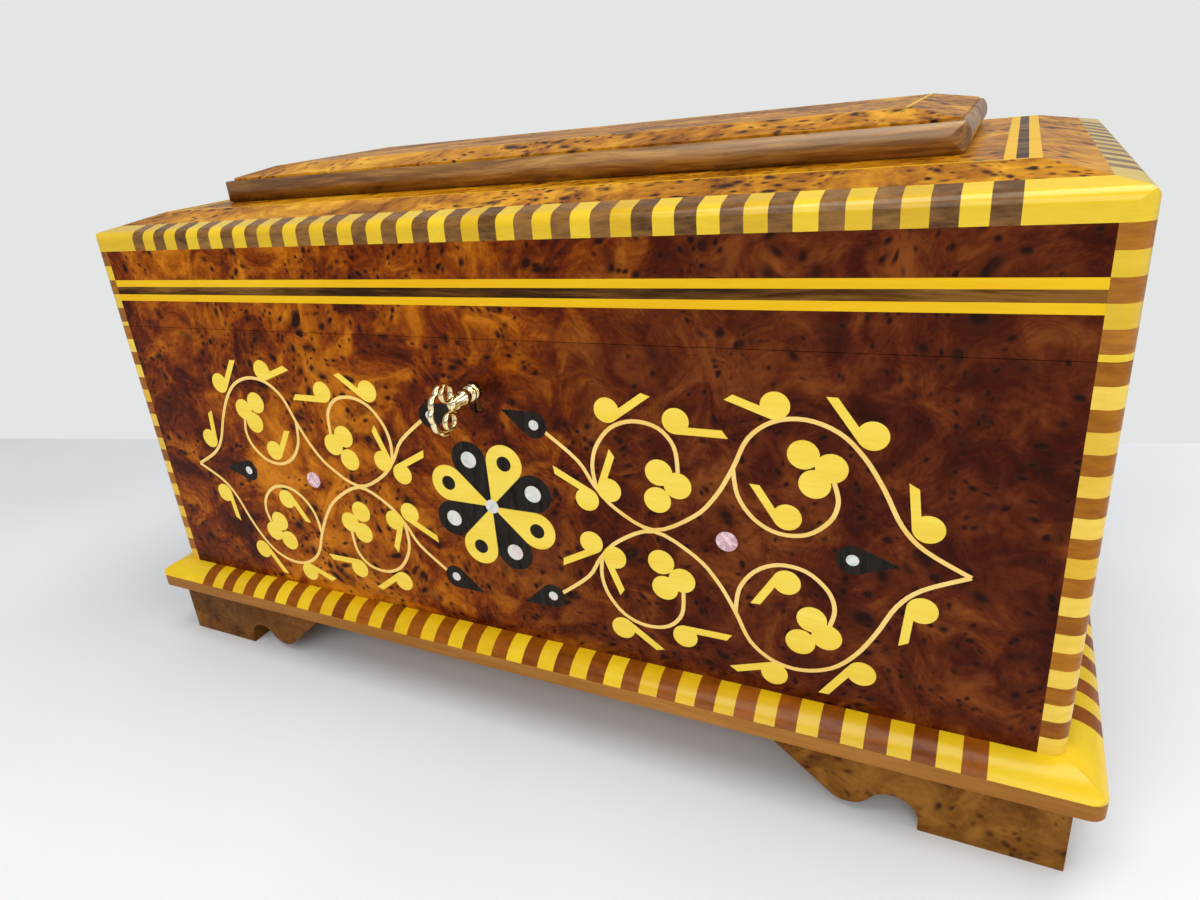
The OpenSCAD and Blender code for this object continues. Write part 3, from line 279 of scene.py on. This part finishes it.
def plank(name, stops, along=0, gloss=(0.24, 0.36), pores=0.0, **lacquer):
    """Straight-grained wood. along is the axis that its grain follows, pores how dark its pores
    are, and lacquer any of the coat's settings."""
    graph = Graph(name)
    stretch = [1.0, 1.0, 1.0]
    stretch[along] = 0.06
    at = graph.vector("MULTIPLY", graph.warp(14, 9 * MM), tuple(stretch))
    broad = graph.noise(90, 3.0, 0.5, at, 0.4)
    grain = graph.noise(650, 3.0, 0.7, at)
    figure = graph.math("ADD", graph.math("MULTIPLY", broad, 0.62), graph.math("MULTIPLY", grain, 0.38))
    colour = graph.ramp(figure, stops)
    if pores:
        flecks = graph.span(graph.noise(1500, 1.0, 0.5, at), 0.34, 0.24)
        colour = graph.mix(graph.math("MULTIPLY", flecks, pores), colour, stops[0][1])
    return lacquered(graph, colour, grain, gloss, **lacquer)


def ebony_wood():
    """Nearly black wood with a faint upright grain."""
    graph = Graph("ebony")
    at = graph.vector("MULTIPLY", graph.warp(40, 4 * MM), (1.0, 1.0, 0.1))
    grain = graph.noise(700, 3.0, 0.6, at)
    colour = graph.ramp(grain, ((0.3, (0.006, 0.005, 0.004)), (0.75, (0.030, 0.022, 0.016))))
    return lacquered(graph, colour, grain)


# One pearl to each side of the middle is a rosier shell: the distances from the middle over which
# that zone fades in and out again
SIDE_PEARL_FROM = (88 * MM, 89 * MM)
SIDE_PEARL_TO = (100 * MM, 101 * MM)


def pearl_shell():
    """Mother-of-pearl: pale layers that shift between cream, rose and green."""
    graph = Graph("mother_of_pearl")
    at = graph.warp(120, 7 * MM)
    layers = graph.noise(260, 4.0, 0.6, at, 1.2)
    tint = graph.ramp(graph.noise(110, 2.0, 0.5, at), (
        (0.35, (0.70, 0.52, 0.50)), (0.48, (0.80, 0.78, 0.70)), (0.56, (0.46, 0.56, 0.48)),
        (0.66, (0.74, 0.60, 0.62))))
    colour = graph.mix(graph.span(layers, 0.38, 0.60), tint, (0.66, 0.67, 0.60))
    aside = graph.math("ABSOLUTE", graph.axis(0))
    rose = graph.math("MULTIPLY", graph.span(aside, *SIDE_PEARL_FROM),
                      graph.span(aside, *SIDE_PEARL_TO, 1.0, 0.0))
    rosy = graph.mix(graph.span(layers, 0.36, 0.62), (0.52, 0.26, 0.30), (0.86, 0.62, 0.66))
    colour = graph.mix(rose, colour, rosy)
    return graph.finish(colour, graph.span(layers, 0.3, 0.7, 0.12, 0.3),
                        graph.bump(layers, 0.08 * MM, 0.4),
                        Specular_IOR_Level=0.6, Coat_Weight=0.6, Coat_Roughness=0.06)


def metal(name, colour, worn, gloss=(0.14, 0.30), brushed=(1.0, 1.0, 1.0), scratched=0.35):
    """Worked metal: smudges from colour to worn, over fine scratches drawn out along brushed."""
    graph = Graph(name)
    at = graph.vector("MULTIPLY", graph.place, brushed)
    scratches = graph.noise(2400, 3.0, 0.7, at)
    smudges = graph.noise(170, 4.0, 0.6)
    tone = graph.mix(graph.span(smudges, 0.38, 0.72), colour, worn)
    roughness = graph.math("ADD", graph.span(smudges, 0.3, 0.75, *gloss),
                           graph.math("MULTIPLY", graph.math("SUBTRACT", scratches, 0.5), 0.12))
    return graph.finish(tone, roughness, graph.bump(scratches, 0.02 * MM, scratched), Metallic=1.0)


def cast_metal():
    """Bedplate of the movement: gold lacquer over a pebbled casting."""
    graph = Graph("cast_bedplate")
    pebbles = graph.noise(1100, 3.0, 0.6)
    smudges = graph.noise(90, 3.0, 0.6)
    colour = graph.mix(graph.span(smudges, 0.35, 0.7), (0.42, 0.36, 0.24), (0.28, 0.235, 0.15))
    return graph.finish(colour, graph.span(smudges, 0.3, 0.7, 0.34, 0.5),
                        graph.bump(pebbles, 0.12 * MM, 0.6), Metallic=0.9)


def velvet_cloth():
    """Velvet: a dense pile, brushed one way and the other in soft patches."""
    graph = Graph("velvet")
    pile = graph.noise(3800, 2.0, 0.6)
    brushed = graph.noise(26, 4.0, 0.55, graph.warp(30, 20 * MM), 0.5)
    depth = graph.math("ADD", graph.math("MULTIPLY", brushed, 0.8), graph.math("MULTIPLY", pile, 0.2))
    colour = graph.ramp(depth, (
        (0.36, (0.085, 0.004, 0.010)), (0.52, (0.15, 0.008, 0.018)), (0.66, (0.24, 0.018, 0.032))))
    return graph.finish(colour, graph.span(pile, 0.3, 0.7, 0.75, 0.95), graph.bump(pile, 0.25 * MM, 0.7),
                        Sheen_Weight=0.7, Sheen_Roughness=0.35, Sheen_Tint=(0.95, 0.45, 0.45, 1.0),
                        Specular_IOR_Level=0.1)


def clear_glass():
    """Clear glass with faint smears."""
    graph = Graph("clear_glass")
    smears = graph.noise(40, 3.0, 0.6, graph.warp(20, 30 * MM))
    return graph.finish((0.95, 0.98, 0.96, 1.0), graph.span(smears, 0.4, 0.8, 0.02, 0.10),
                        graph.bump(smears, 0.1 * MM, 0.05), Transmission_Weight=1.0, IOR=1.46)


# ------------------------------------------------------------------ the woods

BURL_STOPS = (
    (0.08, (0.045, 0.005, 0.001)), (0.30, (0.135, 0.019, 0.001)), (0.48, (0.25, 0.050, 0.001)),
    (0.68, (0.42, 0.115, 0.002)), (0.94, (0.62, 0.20, 0.008)))
PLUM_STOPS = (
    (0.08, (0.022, 0.003, 0.001)), (0.36, (0.055, 0.006, 0.001)), (0.58, (0.105, 0.018, 0.003)),
    (0.95, (0.22, 0.055, 0.008)))
AMBER_STOPS = (
    (0.08, (0.16, 0.042, 0.002)), (0.40, (0.38, 0.135, 0.003)), (0.62, (0.54, 0.225, 0.006)),
    (0.95, (0.76, 0.38, 0.020)))
FOOT_STOPS = (
    (0.08, (0.084, 0.026, 0.003)), (0.38, (0.15, 0.051, 0.005)), (0.60, (0.21, 0.079, 0.009)),
    (0.95, (0.32, 0.135, 0.020)))
WALNUT_STOPS = (
    (0.36, (0.085, 0.028, 0.004)), (0.46, (0.20, 0.078, 0.012)), (0.55, (0.37, 0.175, 0.035)),
    (0.66, (0.54, 0.31, 0.10)))
STRIP_STOPS = ((0.3, (0.25, 0.092, 0.014)), (0.5, (0.33, 0.130, 0.023)), (0.7, (0.43, 0.185, 0.040)))
LEMON_STOPS = ((0.3, (0.85, 0.58, 0.050)), (0.5, (0.91, 0.66, 0.080)), (0.7, (0.95, 0.73, 0.12)))
VINE_STOPS = ((0.3, (0.86, 0.54, 0.12)), (0.5, (0.92, 0.62, 0.18)), (0.7, (0.95, 0.69, 0.24)))
LINE_STOPS = ((0.42, (0.032, 0.011, 0.002)), (0.5, (0.10, 0.038, 0.005)), (0.58, (0.23, 0.10, 0.018)))
BOARD_STOPS = ((0.3, (0.33, 0.155, 0.055)), (0.5, (0.46, 0.245, 0.100)), (0.7, (0.56, 0.33, 0.155)))
# Darkest and lightest blocks
WALNUT_BLOCKS = ((0.070, 0.026, 0.004), (0.31, 0.145, 0.032))
RUSSET_BLOCKS = ((0.14, 0.030, 0.001), (0.34, 0.092, 0.004))
HONEY_BLOCKS = ((0.22, 0.062, 0.002), (0.45, 0.165, 0.006))
YELLOW_BLOCKS = ((0.65, 0.385, 0.002), (0.82, 0.56, 0.016))
PALE_BLOCKS = ((0.70, 0.40, 0.010), (0.88, 0.62, 0.085))

front_burl = burl("burl_front", BURL_STOPS, plum=(0.12, PLUM_STOPS))
lid_burl = burl("burl_lid", BURL_STOPS, plum=(0.14, PLUM_STOPS), amber=(lid_high.z + 1 * MM, AMBER_STOPS))
side_burl = burl("burl_sides", BURL_STOPS, plum=(0.14, PLUM_STOPS))
foot_burl = burl("burl_feet", FOOT_STOPS, knots=0.55)
lid_dark = blocks("walnut_lid_blocks", "lid", WALNUT_BLOCKS, HONEY_BLOCKS, 0.55, 0.5)
case_dark = blocks("walnut_case_blocks", "case", RUSSET_BLOCKS, HONEY_BLOCKS, 0.45, 0.25)
lid_light = blocks("lemonwood_lid_blocks", "lid", YELLOW_BLOCKS, YELLOW_BLOCKS, 0.25, 0.9)
case_light = blocks("lemonwood_case_blocks", "case", YELLOW_BLOCKS, PALE_BLOCKS, 0.25, 0.5)
lemonwood = plank("lemonwood_inlay", LEMON_STOPS)
line_lemonwood = plank("lemonwood_lines", ((0.3, (0.78, 0.42, 0.004)), (0.7, (0.88, 0.55, 0.018))))
vine_wood = plank("lemonwood_vines", VINE_STOPS)
line_wood = plank("walnut_line", LINE_STOPS)
moulding_wood = plank("walnut_moulding", WALNUT_STOPS, gloss=(0.28, 0.40), pores=0.6, coat=0.25,
                     shine=1.0, softness=0.25, tint=(1.0, 0.80, 0.54, 1.0))
strip_wood = plank("base_strip", STRIP_STOPS, pores=0.4)
board_wood = plank("cedar_board", BOARD_STOPS, gloss=(0.45, 0.6), pores=0.5)
upright_wood = plank("cedar_upright", BOARD_STOPS, along=1, gloss=(0.45, 0.6), pores=0.5)
ebony = ebony_wood()
pearl = pearl_shell()
brass = metal("brass", (0.90, 0.72, 0.36), (0.70, 0.48, 0.17))
key_brass = metal("polished_brass", (0.94, 0.83, 0.52), (0.80, 0.62, 0.30), gloss=(0.08, 0.18),
                  scratched=0.05)
steel = metal("steel", (0.62, 0.63, 0.65), (0.42, 0.43, 0.45), brushed=(0.15, 1.0, 1.0))
cast = cast_metal()
velvet = velvet_cloth()
glass = clear_glass()

FINISHES = {
    front_burl: ["front_veneer"],
    lid_burl: ["lid_veneers", "panel_veneers"],
    side_burl: ["case_veneers"],
    foot_burl: ["foot_front_left", "foot_front_right", "foot_back_left", "foot_back_right"],
    lid_dark: ["lid_banding_dark"],
    case_dark: ["case_banding_dark"],
    lid_light: ["lid_banding_light"],
    case_light: ["case_banding_light"],
    lemonwood: ["leaf_inlay", "light_petals"],
    line_lemonwood: ["lid_stringing_light"],
    vine_wood: ["vine_inlay"],
    line_wood: ["lid_stringing_dark"],
    moulding_wood: ["panel_moulding"],
    strip_wood: ["base_board"],
    board_wood: ["front_board", "back_board", "bottom_board", "lid_frame", "lid_top_board", "panel_board",
                 "cover_ledges", "lid_stop_block"],
    upright_wood: ["left_board", "right_board", "partition_board"],
    ebony: ["ebony_inlay"],
    pearl: ["pearl_dots"],
    brass: ["lock_case", "lock_face_plate", "lock_bolt", "case_screws", "hinge_case_leaves",
            "hinge_lid_leaves", "strike_plate", "lid_screws", "governor_frame", "rod_guide",
            "spring_barrel", "winding_key", "music_cylinder", "governor_wheel", "lock_key"],
    steel: ["hinge_pins", "comb", "movement_screws", "mainspring", "winding_arbor", "cylinder_pins",
            "governor_worm", "stop_rod"],
    cast: ["bedplate"],
    velvet: ["well_lining", "lid_lining"],
    glass: ["movement_cover"],
}


def give(piece, material):
    piece.data.materials.clear()
    piece.data.materials.append(material)


for material, names in FINISHES.items():
    for name in names:
        give(nodes[name], material)

unfinished = set(nodes) - {name for names in FINISHES.values() for name in names}
if unfinished:
    raise SystemExit(f"no finish for {sorted(unfinished)}")


# ------------------------------------------------------------------ new pieces

def new_piece(name, mesh, material, body, stands_for=()):
    """Makes a mesh a smooth piece with a material and the body that it rides on, and hides the CAD nodes
    that it stands for."""
    data = bpy.data.meshes.new(name)
    bmesh.ops.recalc_face_normals(mesh, faces=mesh.faces)
    for face in mesh.faces:
        face.smooth = True
    mesh.to_mesh(data)
    mesh.free()
    piece = bpy.data.objects.new(name, data)
    bpy.context.scene.collection.objects.link(piece)
    give(piece, material)
    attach(piece, body)
    if stands_for:
        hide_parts(*stands_for)
    return piece


def loft(mesh, rows, close_ends=True):
    """Skin over rings of points, each of the same length."""
    made = [[mesh.verts.new(p) for p in row] for row in rows]
    count = len(made[0])
    for a, b in zip(made, made[1:]):
        for i in range(count):
            mesh.faces.new((a[i], a[(i + 1) % count], b[(i + 1) % count], b[i]))
    if close_ends:
        mesh.faces.new(made[0])
        mesh.faces.new(list(reversed(made[-1])))


# Velvet: panels over the walls and floor, and inside the lid's top.
# PANEL_EDGE is the width of the rounded edge and PANEL_RIM the velvet's height at its outline. From
# there the middle rises by PANEL_FULL of the rest of the thickness, give or take RIPPLE of it. The
# grid's lines stand about PANEL_STEP apart in the middle and at EDGE_STEPS from each edge.
PANEL_EDGE = 5 * MM
PANEL_RIM = 0.25 * MM
PANEL_FULL = 0.96
RIPPLE = 0.03
PANEL_STEP = 10 * MM
EDGE_STEPS = (0.5 * MM, 1.2 * MM, 2.4 * MM)


def steps(low, high, marks=()):
    """Grid values from low to high that include every mark, closer together beside the marks and
    at both ends."""
    edges = sorted({low, high, *marks})
    out = [low]
    for a, b in zip(edges, edges[1:]):
        inner = [a + d for d in EDGE_STEPS] + [b - d for d in reversed(EDGE_STEPS)]
        flat = max(1, round((b - a - 2 * PANEL_EDGE) / PANEL_STEP))
        inner += [a + PANEL_EDGE + (b - a - 2 * PANEL_EDGE) * i / flat for i in range(flat + 1)]
        out += sorted(x for x in inner if a < x < b) + [b]
    return out


def velvet_panel(name, body, corner, across, along, out, thick, flat, notch=None):
    """Velvet drawn over a thin card: a flat back, and a face that falls away round the edge.
    corner is the back's corner; across, along and out are unit vectors; thick is how far the face
    stands out; flat is its width and length; notch is a cut-out in the far edge, given as where it
    starts and ends across the width, and its depth."""
    width, length = flat
    marks_u, marks_v = ((notch[0], notch[1]), (length - notch[2],)) if notch else ((), ())
    us, vs = steps(0.0, width, marks_u), steps(0.0, length, marks_v)

    def cut(u, v):
        return bool(notch) and notch[0] < u < notch[1] and v > length - notch[2]

    def rise(u, v):
        reach = min(u, width - u, v, length - v)
        if notch:
            side = max(notch[0] - u, u - notch[1], 0.0)
            below = max(length - notch[2] - v, 0.0)
            reach = min(reach, math.hypot(side, below))
        share = min(max(reach, 0.0) / PANEL_EDGE, 1.0)
        ripple = RIPPLE * math.sin(70 * u + 1.3 * math.sin(55 * v)) * share
        return PANEL_RIM + (thick - PANEL_RIM) * (math.sqrt(share * (2 - share)) * PANEL_FULL + ripple)

    mesh = bmesh.new()
    backs, faces = {}, {}
    for i, u in enumerate(us):
        for j, v in enumerate(vs):
            foot = corner + across * u + along * v
            backs[i, j] = mesh.verts.new(foot)
            faces[i, j] = mesh.verts.new(foot + out * rise(u, v))
    quads = {(i, j) for i in range(len(us) - 1) for j in range(len(vs) - 1)
             if not cut((us[i] + us[i + 1]) / 2, (vs[j] + vs[j + 1]) / 2)}
    for i, j in quads:
        ring = ((i, j), (i + 1, j), (i + 1, j + 1), (i, j + 1))
        mesh.faces.new([faces[k] for k in ring])
        mesh.faces.new([backs[k] for k in reversed(ring)])
        for (di, dj), a, b in (((0, -1), 0, 1), ((1, 0), 1, 2), ((0, 1), 2, 3), ((-1, 0), 3, 0)):
            if (i + di, j + dj) not in quads:
                mesh.faces.new((backs[ring[a]], backs[ring[b]], faces[ring[b]], faces[ring[a]]))
    loose = [v for v in mesh.verts if not v.link_faces]
    bmesh.ops.delete(mesh, geom=loose, context="VERTS")
    piece = new_piece(name, mesh, velvet, body)
    return piece


well_low, well_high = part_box("well_lining")
FLOOR_T = 2 * MM
WALL_T = 1.5 * MM
wall_foot = well_low.z + FLOOR_T
wall_h = well_high.z - wall_foot
well_w, well_d = well_high.x - well_low.x, well_high.y - well_low.y
X, Y, Z = Vector((1, 0, 0)), Vector((0, 1, 0)), Vector((0, 0, 1))
# The front panel is cut out round the lock
lock_low, lock_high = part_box("lock_case")
NOTCH_SIDE = 3.2 * MM
NOTCH_BELOW = 3 * MM
lock_notch = (lock_low.x - NOTCH_SIDE - well_low.x, lock_high.x + NOTCH_SIDE - well_low.x,
              well_high.z - lock_low.z + NOTCH_BELOW)

linings = [
    velvet_panel("velvet_floor", "case", Vector((well_low.x, well_low.y, well_low.z)),
                 X, Y, Z, FLOOR_T, (well_w, well_d)),
    velvet_panel("velvet_wall_front", "case", Vector((well_low.x, well_low.y, wall_foot)),
                 X, Z, Y, WALL_T, (well_w, wall_h), lock_notch),
    velvet_panel("velvet_wall_back", "case", Vector((well_low.x, well_high.y, wall_foot)),
                 X, Z, -Y, WALL_T, (well_w, wall_h)),
    velvet_panel("velvet_wall_left", "case", Vector((well_low.x, well_low.y + WALL_T, wall_foot)),
                 Y, Z, X, WALL_T, (well_d - 2 * WALL_T, wall_h)),
    velvet_panel("velvet_wall_right", "case", Vector((well_high.x, well_low.y + WALL_T, wall_foot)),
                 Y, Z, -X, WALL_T, (well_d - 2 * WALL_T, wall_h)),
]
for lining in linings:
    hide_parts("well_lining")

# The lid's lining starts clear of the block that works the stop rod
top_low, top_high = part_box("lid_lining")
BLOCK_GAP = 0.6 * MM
_, block_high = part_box("lid_stop_block")
top_left = block_high.x + BLOCK_GAP
lid_velvet = velvet_panel("velvet_lid", "lid", Vector((top_left, top_low.y, top_high.z)), X, Y, -Z,
                          top_high.z - top_low.z, (top_high.x - top_left, top_high.y - top_low.y))
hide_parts("lid_lining")


# Key: turned shank and collars, and a cast bow with rounded bars
key_low, key_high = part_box("lock_key")
KEY_SHANK_R = 2.2 * MM
BOW_R = 10 * MM
BOW_HALF_T = 1.2 * MM
SCALLOP_R = 3.4 * MM
SCALLOP_TURN = math.radians(36)
# The arc's bar spans from twice BOW_SPREAD inside BOW_IN to the scalloped edge, which is nowhere
# less than BOW_THIN outside BOW_IN
BOW_IN = 8.2 * MM
BOW_THIN = 0.35 * MM
BOW_SPREAD = 0.1 * MM
# How far the arc reaches each way, and how fast its bar thins there
ARC_END = math.radians(92)
ARC_FADE = math.radians(16)
ARC_STEPS = 96
# Middles of the three rings as (out, up), their radius, and half the width and thickness of the bar
BOW_RINGS = ((-6.2 * MM, 0.0), (-1.6 * MM, 5.3 * MM), (-1.6 * MM, -5.3 * MM))
RING_R = 2.95 * MM
RING_BAR = 0.75 * MM
RING_HALF_T = BOW_HALF_T * 0.92
RING_STEPS = 36
# Bit: half its thickness, how far before the shank's end it starts and ends, and how far under the
# shank's axis its top and bottom are
BIT_HALF_T = 1.0 * MM
BIT_BACK = (4.2 * MM, 1.2 * MM)
BIT_DROP = (1.0 * MM, 6.5 * MM)
key_z = (key_low.z + key_high.z) / 2
bow_y = key_low.y + BOW_R
face_y = body_low.y


def bow_point(out, up, side):
    """Point of the bow: out away from the chest, up, and side along X."""
    return Vector((side, bow_y - out, key_z + up))


def section(centre_out, centre_up, way, half, thick, count=14):
    """Rounded bar section across the direction way, in the bow's plane."""
    row = []
    for i in range(count):
        turn = 2 * math.pi * i / count
        reach = half * math.cos(turn)
        row.append(bow_point(centre_out + way[0] * reach, centre_up + way[1] * reach,
                             thick * math.sin(turn)))
    return row


def scallop_reach(turn):
    """How far the scalloped edge lies from the bow's middle, in the direction turn."""
    best = BOW_IN + BOW_THIN
    for i in range(-2, 3):
        gap = turn - i * SCALLOP_TURN
        arm = BOW_R - SCALLOP_R
        sideways = arm * math.sin(gap)
        if abs(sideways) < SCALLOP_R and math.cos(gap) > 0:
            best = max(best, arm * math.cos(gap) + math.sqrt(SCALLOP_R**2 - sideways**2))
    return best


def bead_row(profile, count=40):
    """Rings of a turned piece round the key's axis, from (place along Y, radius) pairs."""
    return [[Vector((r * math.cos(t), y, key_z + r * math.sin(t)))
             for t in (2 * math.pi * i / count for i in range(count))] for y, r in profile]


def bead(middle, radius, half):
    """Profile of a round bead between two thin fillets."""
    turns = [math.radians(a) for a in range(-80, 81, 16)]
    return [(middle + half * math.sin(t), KEY_SHANK_R + (radius - KEY_SHANK_R) * math.cos(t))
            for t in turns]


key = bmesh.new()
arc = []
for i in range(ARC_STEPS + 1):
    turn = -ARC_END + 2 * ARC_END * i / ARC_STEPS
    outer = scallop_reach(turn)
    taper = min(1.0, (ARC_END - abs(turn)) / ARC_FADE + 0.25)
    middle = (outer + BOW_IN) / 2 - BOW_SPREAD
    half = (outer - BOW_IN) / 2 + BOW_SPREAD
    way = (math.cos(turn), math.sin(turn))
    arc.append(section(middle * way[0], middle * way[1], way, half * taper,
                       BOW_HALF_T * math.sqrt(taper)))
loft(key, arc)
for out, up in BOW_RINGS:
    rows = []
    for i in range(RING_STEPS + 1):
        turn = 2 * math.pi * i / RING_STEPS
        way = (math.cos(turn), math.sin(turn))
        rows.append(section(out + RING_R * way[0], up + RING_R * way[1], way, RING_BAR, RING_HALF_T))
    loft(key, rows, close_ends=False)

neck = bow_y - BOW_RINGS[0][0] - RING_R
# Neck, large bead, waist, two small beads, and the plain part that goes into the lock
profile = [(neck - 0.4 * MM, 1.0 * MM), (neck, 1.5 * MM), (neck + 0.6 * MM, 1.9 * MM)]
profile += bead(face_y - 8.0 * MM, 3.0 * MM, 1.9 * MM)
profile += [(face_y - 5.7 * MM, 1.9 * MM)]
profile += bead(face_y - 4.3 * MM, 3.25 * MM, 1.0 * MM)
profile += bead(face_y - 2.1 * MM, 3.25 * MM, 1.0 * MM)
profile += [(face_y - 0.7 * MM, KEY_SHANK_R), (key_high.y - 0.3 * MM, KEY_SHANK_R), (key_high.y, 1.8 * MM)]
loft(key, bead_row(profile))
bit_low = Vector((-BIT_HALF_T, key_high.y - BIT_BACK[0], key_z - BIT_DROP[1]))
bit_high = Vector((BIT_HALF_T, key_high.y - BIT_BACK[1], key_z - BIT_DROP[0]))
bit = bmesh.ops.create_cube(key, size=1.0)["verts"]
for vert in bit:
    vert.co = Vector([bit_low[k] if vert.co[k] < 0 else bit_high[k] for k in range(3)])
bit_edges = list(dict.fromkeys(edge for vert in bit for edge in vert.link_edges))
bmesh.ops.bevel(key, geom=bit_edges, offset=0.25 * MM, segments=2, affect="EDGES")
new_piece("key", key, key_brass, "key", ["lock_key"])


# ------------------------------------------------------------------ table, light and camera

# Turn of the table under the chest, its back edge, its reach the other ways and its thickness
TABLE_TURN = math.radians(12.7)
TABLE_BACK = 0.2137
TABLE_REACH = 1.7
TABLE_T = 0.03


def table_surface():
    """Pale matt paint with faint clouds and a fine grain."""
    graph = Graph("pale_table")
    clouds = graph.noise(6, 3.0, 0.5)
    colour = graph.mix(graph.span(clouds, 0.3, 0.7), (0.80, 0.815, 0.82), (0.83, 0.845, 0.85))
    grain = graph.noise(900, 2.0, 0.5)
    grain_bump = graph.bump(grain, 0.05 * MM, 0.2)
    return graph.finish(colour, graph.span(clouds, 0.3, 0.7, 0.45, 0.55), grain_bump,
                        Specular_IOR_Level=0.25)


slab = bmesh.new()
bmesh.ops.create_cube(slab, size=1.0)
slab_low = Vector((-TABLE_REACH, -TABLE_REACH, -TABLE_T))
slab_high = Vector((TABLE_REACH, TABLE_BACK, 0.0))
for vert in slab.verts:
    vert.co = Vector([slab_low[k] if vert.co[k] < 0 else slab_high[k] for k in range(3)])
bmesh.ops.bevel(slab, geom=list(slab.edges), offset=2 * MM, segments=3, affect="EDGES")
table_mesh = bpy.data.meshes.new("table")
slab.to_mesh(table_mesh)
slab.free()
table = bpy.data.objects.new("table", table_mesh)
table.rotation_euler = (0.0, 0.0, TABLE_TURN)
bpy.context.scene.collection.objects.link(table)
give(table, table_surface())


def area_light(name, place, target, size, power):
    """White rectangular light at place that faces target; power in watts."""
    data = bpy.data.lights.new(name, "AREA")
    data.shape = "RECTANGLE"
    data.size, data.size_y = size
    data.energy = power
    light = bpy.data.objects.new(name, data)
    light.location = place
    light.rotation_euler = (Vector(target) - Vector(place)).to_track_quat("-Z", "Y").to_euler()
    bpy.context.scene.collection.objects.link(light)


# Name, place, target, size and power of each light
LIGHTS = (
    ("overhead", (0.2, -0.15, 1.3), (0.05, -0.05, 0.15), (1.9, 0.45), 12.5),
    ("front_fill", (0.25, -1.7, 1.15), (0.0, -0.1, 0.1), (1.8, 1.0), 13.8),
    ("right_fill", (1.7, -0.2, 0.8), (0.1, 0.0, 0.1), (0.9, 0.9), 7.0),
)
for light in LIGHTS:
    area_light(*light)

SEEN_WALL = (0.775, 0.79, 0.78, 1.0)
SKY = (0.93, 0.96, 1.0, 1.0)
SKY_STRENGTH = 0.40
world = bpy.data.worlds.new("studio")
world.use_nodes = True
studio = world.node_tree
studio.nodes.clear()


def backdrop(colour, strength):
    """Background shader of one even tone."""
    made = studio.nodes.new("ShaderNodeBackground")
    made.inputs["Color"].default_value = colour
    made.inputs["Strength"].default_value = strength
    return made.outputs[0]


# The plain backdrop's own tone, and apart from it the light that the room gives
around = studio.nodes.new("ShaderNodeMixShader")
studio.links.new(studio.nodes.new("ShaderNodeLightPath").outputs["Is Camera Ray"], around.inputs[0])
studio.links.new(backdrop(SKY, SKY_STRENGTH), around.inputs[1])
studio.links.new(backdrop(SEEN_WALL, 1.0), around.inputs[2])
studio.links.new(around.outputs[0], studio.nodes.new("ShaderNodeOutputWorld").inputs[0])
bpy.context.scene.world = world
bpy.context.scene.view_settings.view_transform = "Standard"

# Camera solved from the photograph; its tilt is in degrees about X, Y and Z
CAMERA_PLACE = (0.1691, -0.3419, 0.2475)
CAMERA_TILT = (67.44, 6.29, 28.38)
lens = bpy.data.cameras.new("camera")
lens.sensor_width = 36.0
lens.lens = 25.01
lens.shift_x = 0.0564
lens.shift_y = -0.0024
lens.clip_start, lens.clip_end = 0.01, 20.0
camera = bpy.data.objects.new("camera", lens)
tilt = Euler([math.radians(a) for a in CAMERA_TILT])
camera.matrix_world = Matrix.Translation(CAMERA_PLACE) @ tilt.to_matrix().to_4x4()
bpy.context.scene.collection.objects.link(camera)
bpy.context.scene.camera = camera
